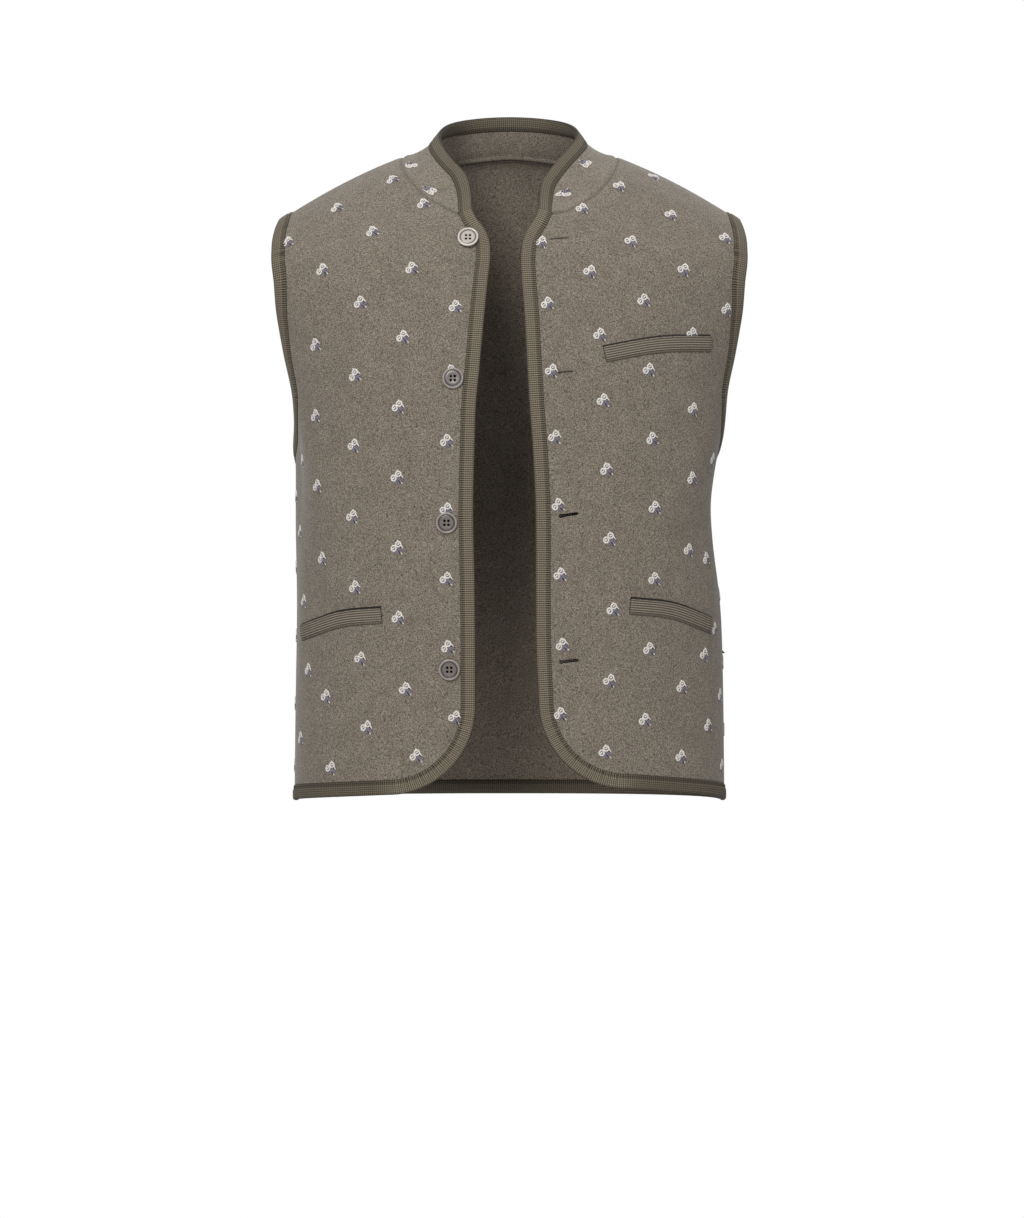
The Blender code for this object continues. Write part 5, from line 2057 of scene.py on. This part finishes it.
# The sprigs seen from the front, in millimetres from the middle and up, a row for each column
SPRIG_ROWS = (
    ((-52, -162), (-56, -225), (-60, -291), (-60, -356), (-60, -422), (-59, -487), (-52, -554)),
    ((-84, -58), (-94, -124), (-102, -191), (-106, -258), (-107, -325), (-107, -392), (-106, -459),
     (-99, -527), (-89, -591)),
    ((-115, -31), (-133, -86), (-143, -157), (-148, -227), (-149, -294), (-150, -362),
     (-148, -430), (-143, -498), (-137, -564)),
    ((-169, -59), (-181, -123), (-187, -196), (-187, -264), (-184, -332), (-181, -402),
     (-177, -535), (-172, -604)),
    ((-217, -93), (-207, -375), (-200, -443), (-195, -510)),
    ((30, -98), (36, -159), (40, -224), (43, -287), (46, -352), (48, -418), (50, -485), (48, -551)),
    ((70, -63), (77, -127), (86, -189), (89, -252), (92, -318), (95, -384), (98, -451), (95, -519),
     (91, -587)),
    ((107, -38), (117, -96), (128, -155), (133, -222), (136, -288), (138, -354), (138, -422),
     (133, -489), (129, -557)),
    ((142, -25), (157, -67), (168, -123), (175, -186), (176, -258), (174, -325), (173, -394),
     (166, -526), (165, -593)),
    ((210, -89), (210, -160), (188, -495), (192, -564)),
    ((192, -402), (199, -470), (205, -535), (207, -604)),
)


class Lamp(NamedTuple):
    """A soft round light: its place, its size across and its power in watts."""

    name: str
    place: tuple
    size: float
    power: float


@dataclass
class Studio:
    """The camera at the photographed angle, pale floor and soft light."""

    camera_at: tuple = (0.0025, -3.2, -0.451)
    lens: float = 94.8
    floor_z: float = -1.40
    floor_radius: float = 1.7
    floor_sides: int = 96
    sensor: float = 36.0
    sky_light: float = 0.30
    lit_height: float = -0.30
    lamps: tuple = (
        Lamp("key", (-1.1, -2.8, 1.5), 1.5, 72.0),
        Lamp("fill", (1.8, -2.6, 0.3), 2.2, 17.0),
        Lamp("top", (0.2, 0.5, 2.0), 2.0, 20.0),
    )

    def build(self) -> Object:
        """Set up the camera, lights, world and floor.

        Returns:
            The floor.
        """
        bpy.context.scene.view_settings.view_transform = "Standard"
        self.aim_camera()
        for lamp in self.lamps:
            self.light(lamp)
        self.light_sky()
        shape = bmesh.new()
        bmesh.ops.create_circle(shape, cap_ends=True, segments=self.floor_sides,
                                radius=self.floor_radius,
                                matrix=Matrix.Translation((0.0, 0.0, self.floor_z)))
        return new_object("floor", mesh_from(shape, "floor"), [Paper().build()])

    def aim_camera(self) -> None:
        """Set the camera level in front of the garment."""
        camera = bpy.data.objects.new("camera", bpy.data.cameras.new("camera"))
        camera.data.lens = self.lens
        camera.data.sensor_width = self.sensor
        camera.data.sensor_fit = "AUTO"
        camera.location = self.camera_at
        camera.rotation_euler = (math.pi / 2.0, 0.0, 0.0)
        bpy.context.scene.collection.objects.link(camera)
        bpy.context.scene.camera = camera

    def light_sky(self) -> None:
        """Light the scene softly from all round, with a white backdrop where the sky shows."""
        world = bpy.data.worlds.new("studio")
        world.use_nodes = True
        tree = world.node_tree
        seen = tree.nodes.new("ShaderNodeLightPath").outputs["Is Camera Ray"]
        strength = tree.nodes.new("ShaderNodeMix")
        tree.links.new(seen, strength.inputs[0])
        strength.inputs[2].default_value = self.sky_light
        strength.inputs[3].default_value = 1.0
        tree.links.new(strength.outputs[0], tree.nodes["Background"].inputs["Strength"])
        tree.nodes["Background"].inputs["Color"].default_value = (1.0, 1.0, 1.0, 1.0)
        bpy.context.scene.world = world

    def light(self, lamp: Lamp) -> None:
        """Add a soft light that faces the garment."""
        data = bpy.data.lights.new(lamp.name, "AREA")
        data.shape = "DISK"
        data.size = lamp.size
        data.energy = lamp.power
        light = bpy.data.objects.new(lamp.name, data)
        light.location = lamp.place
        way = Vector((0.0, 0.0, self.lit_height)) - Vector(lamp.place)
        light.rotation_euler = way.to_track_quat("-Z", "Y").to_euler()
        bpy.context.scene.collection.objects.link(light)


@dataclass
class Waistcoat:
    """The whole garment: its panels, collar, tapes, welts, buttons and embroidery."""

    finishes: Finishes
    outline_step: float = 0.0035
    shoulder_ditch: float = 0.0003
    side_ditch: float = 0.0006
    shoulder_spans: int = 30
    side_spans: int = 90
    # Rib strengths of the hem and armhole tapes; weaker ribs also take more painted shade in the
    # tape's finish
    hem_rib: float = 0.35
    armhole_rib: float = 0.65
    hem_start: float = 0.135
    hem_blend: float = 0.05
    welts: tuple = (
        WeltRow("knit_welt_chest", "welt_chest", 0.0905, -0.2085, 0.1420, -0.1985, 0.1940, -0.1945),
        WeltRow("knit_welt_hip_right", "welt_hip_right", -0.1215, -0.4570, -0.1620, -0.4610,
                -0.2020, -0.4745),
        WeltRow("knit_welt_hip_left", "welt_hip_left", 0.1145, -0.4480, 0.1570, -0.4530, 0.1955,
                -0.4675),
    )
    seats: tuple = (
        SeatRow(-0.0396, -0.0951, True),
        SeatRow(-0.0536, -0.2316, False),
        SeatRow(-0.0596, -0.3691, False),
        SeatRow(-0.0570, -0.5087, False),
    )
    side_sprigs: tuple = (
        SprigColumn(-0.262, (-0.306, -0.577)),
        SprigColumn(-0.315, (-0.340, -0.409, -0.477, -0.544, -0.605)),
        SprigColumn(0.245, (-0.305,)),
        SprigColumn(0.318, (-0.368, -0.436, -0.503, -0.570)),
    )
    collar_sprigs: tuple = (
        CollarSprig(0.0, 0.042, 0.010, -1.9),
        CollarSprig(0.0, 0.084, 0.009, -2.2),
        CollarSprig(1.0, -0.036, 0.027, 1.1),
        CollarSprig(1.0, -0.084, 0.030, 2.0),
        CollarSprig(0.5, -0.030, 0.018, 3.0),
        CollarSprig(0.5, 0.036, 0.014, 3.0),
    )
    sprig_pitch: float = 0.067
    sprig_column: float = 0.046
    back_columns: int = 7
    back_top: float = -0.050
    back_bottom: float = -0.600
    edge_room: float = 0.030
    stray: float = 0.0015
    tilt: float = 0.2
    seed: int = 7
    pieces: list = field(default_factory=list)

    def keep(self, piece: Object, slot: str, *nodes: str) -> Object:
        """Fix a piece to the garment's one body and hide the solids that it takes the place of.

        Args:
            piece: The piece.
            slot: The record's material slot; not used.
            nodes: The solids that it takes the place of.

        Returns:
            The piece.
        """
        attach(piece, "root")
        if nodes:
            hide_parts(*nodes)
        self.pieces.append(piece)
        LOG.info("%s: %d faces", piece.name, len(piece.data.polygons))
        return piece

    def cut_edge(self, half: Half, outline: Array, towards: tuple[float, float]
                 ) -> Array:
        """The cloth's cut edge inside a tape.

        Args:
            half: The half that the edge is on.
            outline: The places of the finished edge.
            towards: A place well inside the panel.

        Returns:
            The edge's points in the flat layout.
        """
        marks = even_line(half, outline, self.outline_step)
        change = half.inward(marks, towards)
        PanelTape.keep_on_seams(marks, change)
        return half.spread(marks + change * TAPE_REACH)

    def flat_line(self, half: Half, line: Array) -> Array:
        """Flat points at even steps along a line of places."""
        return half.spread(even_line(half, line, self.outline_step))

    def front_panel(self, side: Side) -> WoolPanel:
        """The cut and seams of a front, ready to build."""
        edge = self.cut_edge(FRONT, front_outline(side), front_middle(side))
        neck = self.flat_line(FRONT, front_neck(side))
        arm = self.cut_edge(FRONT, armhole_outline(FRONT, side), front_middle(side))
        shoulder = straight(neck[-1], arm[0], self.shoulder_spans)
        seam = straight(arm[-1], edge[0], self.side_spans)
        outline = np.vstack([edge, neck, shoulder[1:-1], arm, seam[1:-1]])
        seams = [(neck, NECK_DITCH), (shoulder, self.shoulder_ditch), (seam, self.side_ditch)]
        return WoolPanel(f"wool_front_{side.word}", FRONT, outline, seams, self.finishes.wool)

    def back_panel(self) -> WoolPanel:
        """The cut and seams of the back, in one piece, ready to build."""
        bottom = self.cut_edge(BACK, back_hem(), BACK_MIDDLE)
        neck = {side: self.flat_line(BACK, back_neck(side)) for side in Side}
        arm = {side: self.cut_edge(BACK, armhole_outline(BACK, side), BACK_MIDDLE)
               for side in Side}
        parts = [bottom]
        seams = [(neck[Side.LEFT], NECK_DITCH), (neck[Side.RIGHT], NECK_DITCH)]
        for side in (Side.LEFT, Side.RIGHT):
            low = bottom[-1] if side is Side.LEFT else bottom[0]
            seam = straight(low, arm[side][-1], self.side_spans)
            shoulder = straight(arm[side][0], neck[side][0], self.shoulder_spans)
            seams += [(seam, self.side_ditch), (shoulder, self.shoulder_ditch)]
            run = [seam[1:-1], arm[side][::-1], shoulder[1:-1], neck[side]]
            if side is Side.LEFT:
                parts += run
            else:
                parts += [run[3][-2::-1]] + [part[::-1] for part in run[2::-1]]
        return WoolPanel("wool_back", BACK, np.vstack(parts), seams, self.finishes.wool)

    def make_panels(self) -> None:
        """Cut the three panels of wool."""
        right = self.front_panel(Side.RIGHT).build()
        left = self.front_panel(Side.LEFT).build()
        holes = Buttonholes(self.finishes.painted_shadow_thread)
        holes.cut(left)
        back = self.back_panel().build()
        for piece, node, flat, area in (
                (right, "front_right", (0.27, 0.72), 0.145),
                (left, "front_left", (0.27, 0.72), 0.148),
                (back, "back", (0.54, 0.72), 0.335)):
            self.keep(piece, "felted_wool", node)
        self.keep(holes.stitch(), "felted_wool")

    def make_tapes(self) -> None:
        """Fold the knitted tape over every edge."""
        for side in Side:
            middle = front_middle(side)
            self.fold_tape(f"front_{side.word}", [TapeRun(FRONT, front_outline(side), middle)],
                           self.front_ribs)
            runs = [TapeRun(FRONT, armhole_outline(FRONT, side), middle),
                    TapeRun(BACK, armhole_outline(BACK, side)[::-1], BACK_MIDDLE)]
            self.fold_tape(f"armhole_{side.word}", runs, self.armhole_ribs,
                           closed=True)
        self.fold_tape("hem_back", [TapeRun(BACK, back_hem(), BACK_MIDDLE)], self.hem_ribs)

    def fold_tape(self, word: str, runs: Sequence[TapeRun],
                  ribs: Callable[[Array], Array],
                  closed: bool = False) -> None:
        """Fold a tape over an edge and say what strip it was before.

        Args:
            word: The edge's name.
            runs: The lines of the edge, in order.
            ribs: Gives the strength of the cross ribs for points in space.
            closed: Whether the tape comes back to its own start.
        """
        tape = PanelTape(f"knit_tape_{word}", runs, self.finishes.tape, closed)
        piece = self.keep(tape.build(ribs), "knitted_tape", f"tape_{word}")
        length = sum(reach_along(run.half.point(run.line))[-1] for run in runs)
        LOG.info("%s: cut %.3f m long", piece.name, length)

    def front_ribs(self, points: Array) -> Array:
        """Strength of the cross ribs: full up the front edge, weak along the hem."""
        upright = ease((self.hem_start - np.abs(points[:, 0])) / self.hem_blend)
        return self.hem_rib + (1.0 - self.hem_rib) * upright

    def armhole_ribs(self, points: Array) -> Array:
        """Strength of the cross ribs round an armhole."""
        return np.full(len(points), self.armhole_rib)

    def hem_ribs(self, points: Array) -> Array:
        """Strength of the cross ribs along the back's hem."""
        return np.full(len(points), self.hem_rib)

    def make_collar(self) -> None:
        """Make the stand collar, its tape and its sprigs."""
        collar = Collar(self.finishes.wool)
        piece = self.keep(collar.build(), "felted_wool", "collar")
        spots = np.array([(collar.along[-1] * row.share + row.along, row.up)
                          for row in self.collar_sprigs])
        turns = np.array([row.turn for row in self.collar_sprigs])
        sprigs = Sprigs("sprigs_collar", self.finishes.threads())
        self.keep(sprigs.build(spots, turns, collar.onto), "embroidery")
        piece = self.keep(collar.build_tape(self.finishes.tape), "knitted_tape", "tape_collar")

    def make_welts(self) -> None:
        """Lay the three welts on the fronts."""
        for row in self.welts:
            welt = Welt(row, self.finishes.welt)
            piece = self.keep(welt.build(), "welt_knit", row.node)

    def make_buttons(self) -> None:
        """Sew the four buttons on the right front."""
        for number, seat in enumerate(self.seats, start=1):
            finish = self.finishes.pale_horn if number == 1 else self.finishes.horn
            button, thread = Button(number, seat, finish, self.finishes.painted_shadow_thread).build()
            self.keep(button, "grey_horn", f"button_{number}")
            self.keep(thread, "embroidery")

    def make_sprigs(self) -> None:
        """Embroider the fronts and the back."""
        chance = np.random.default_rng(self.seed)
        places = [FRONT.locate(x / MM_IN_A_METRE, z / MM_IN_A_METRE)
                  for row in SPRIG_ROWS for x, z in row]
        places += [FRONT.gather(FRONT.at_flat_x(column.x, z))
                   for column in self.side_sprigs for z in column.heights]
        turns = chance.uniform(-self.tilt, self.tilt, len(places))
        sprigs = Sprigs("sprigs_fronts", self.finishes.threads())
        self.keep(sprigs.build(np.array(places), turns, FRONT.onto), "embroidery")
        spots = np.array(self.back_spots())
        spots += chance.uniform(-self.stray, self.stray, (len(spots), 2))
        turns = chance.uniform(-self.tilt, self.tilt, len(spots))
        sprigs = Sprigs("sprigs_back", self.finishes.threads())
        self.keep(sprigs.build(BACK.gather(spots), turns, BACK.onto), "embroidery")

    def back_spots(self) -> list[Array]:
        """Flat points of the back's sprigs: even columns, every other one half a step lower."""
        spots = []
        for number in range(-self.back_columns, self.back_columns + 1):
            first = self.back_top - 0.5 * self.sprig_pitch * (number % 2)
            for z in np.arange(first, self.back_bottom, -self.sprig_pitch):
                spot = BACK.at_flat_x(number * self.sprig_column, z)
                if self.on_back(spot):
                    spots.append(spot)
        return spots

    def on_back(self, spot: Array) -> bool:
        """Whether a flat point is well inside the back's armholes and neck.

        Args:
            spot: The point in the flat layout.

        Returns:
            True where a sprig has room.
        """
        gaps = []
        for side in Side:
            line = BACK.spread(armhole_outline(BACK, side))
            inside = abs(np.interp(spot[1], line[::-1, 1], line[::-1, 0]))
            if spot[1] > line[-1, 1] and abs(spot[0]) > inside:
                return False
            gaps.append(distance_to(line, spot[None])[0])
            gaps.append(distance_to(BACK.spread(back_neck(side)), spot[None])[0])
        return min(gaps) > self.edge_room

    def build(self) -> None:
        """Make the whole garment."""
        self.make_panels()
        self.make_collar()
        self.make_tapes()
        self.make_welts()
        self.make_buttons()
        self.make_sprigs()


def main() -> None:
    """Dress the waistcoat over its solids and report each piece."""
    logging.basicConfig(level=logging.INFO, format="%(name)s: %(message)s")
    studio = Studio()
    studio.build()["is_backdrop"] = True
    garment = Waistcoat(Finishes())
    garment.build()
    LOG.info("%d pieces", len(garment.pieces))
    boxes = {"cad": CAD_BOUNDS, "visual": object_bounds()}
    {key: np.array(box).tolist() for key, box in boxes.items()}


if __name__ == "__main__":
    main()
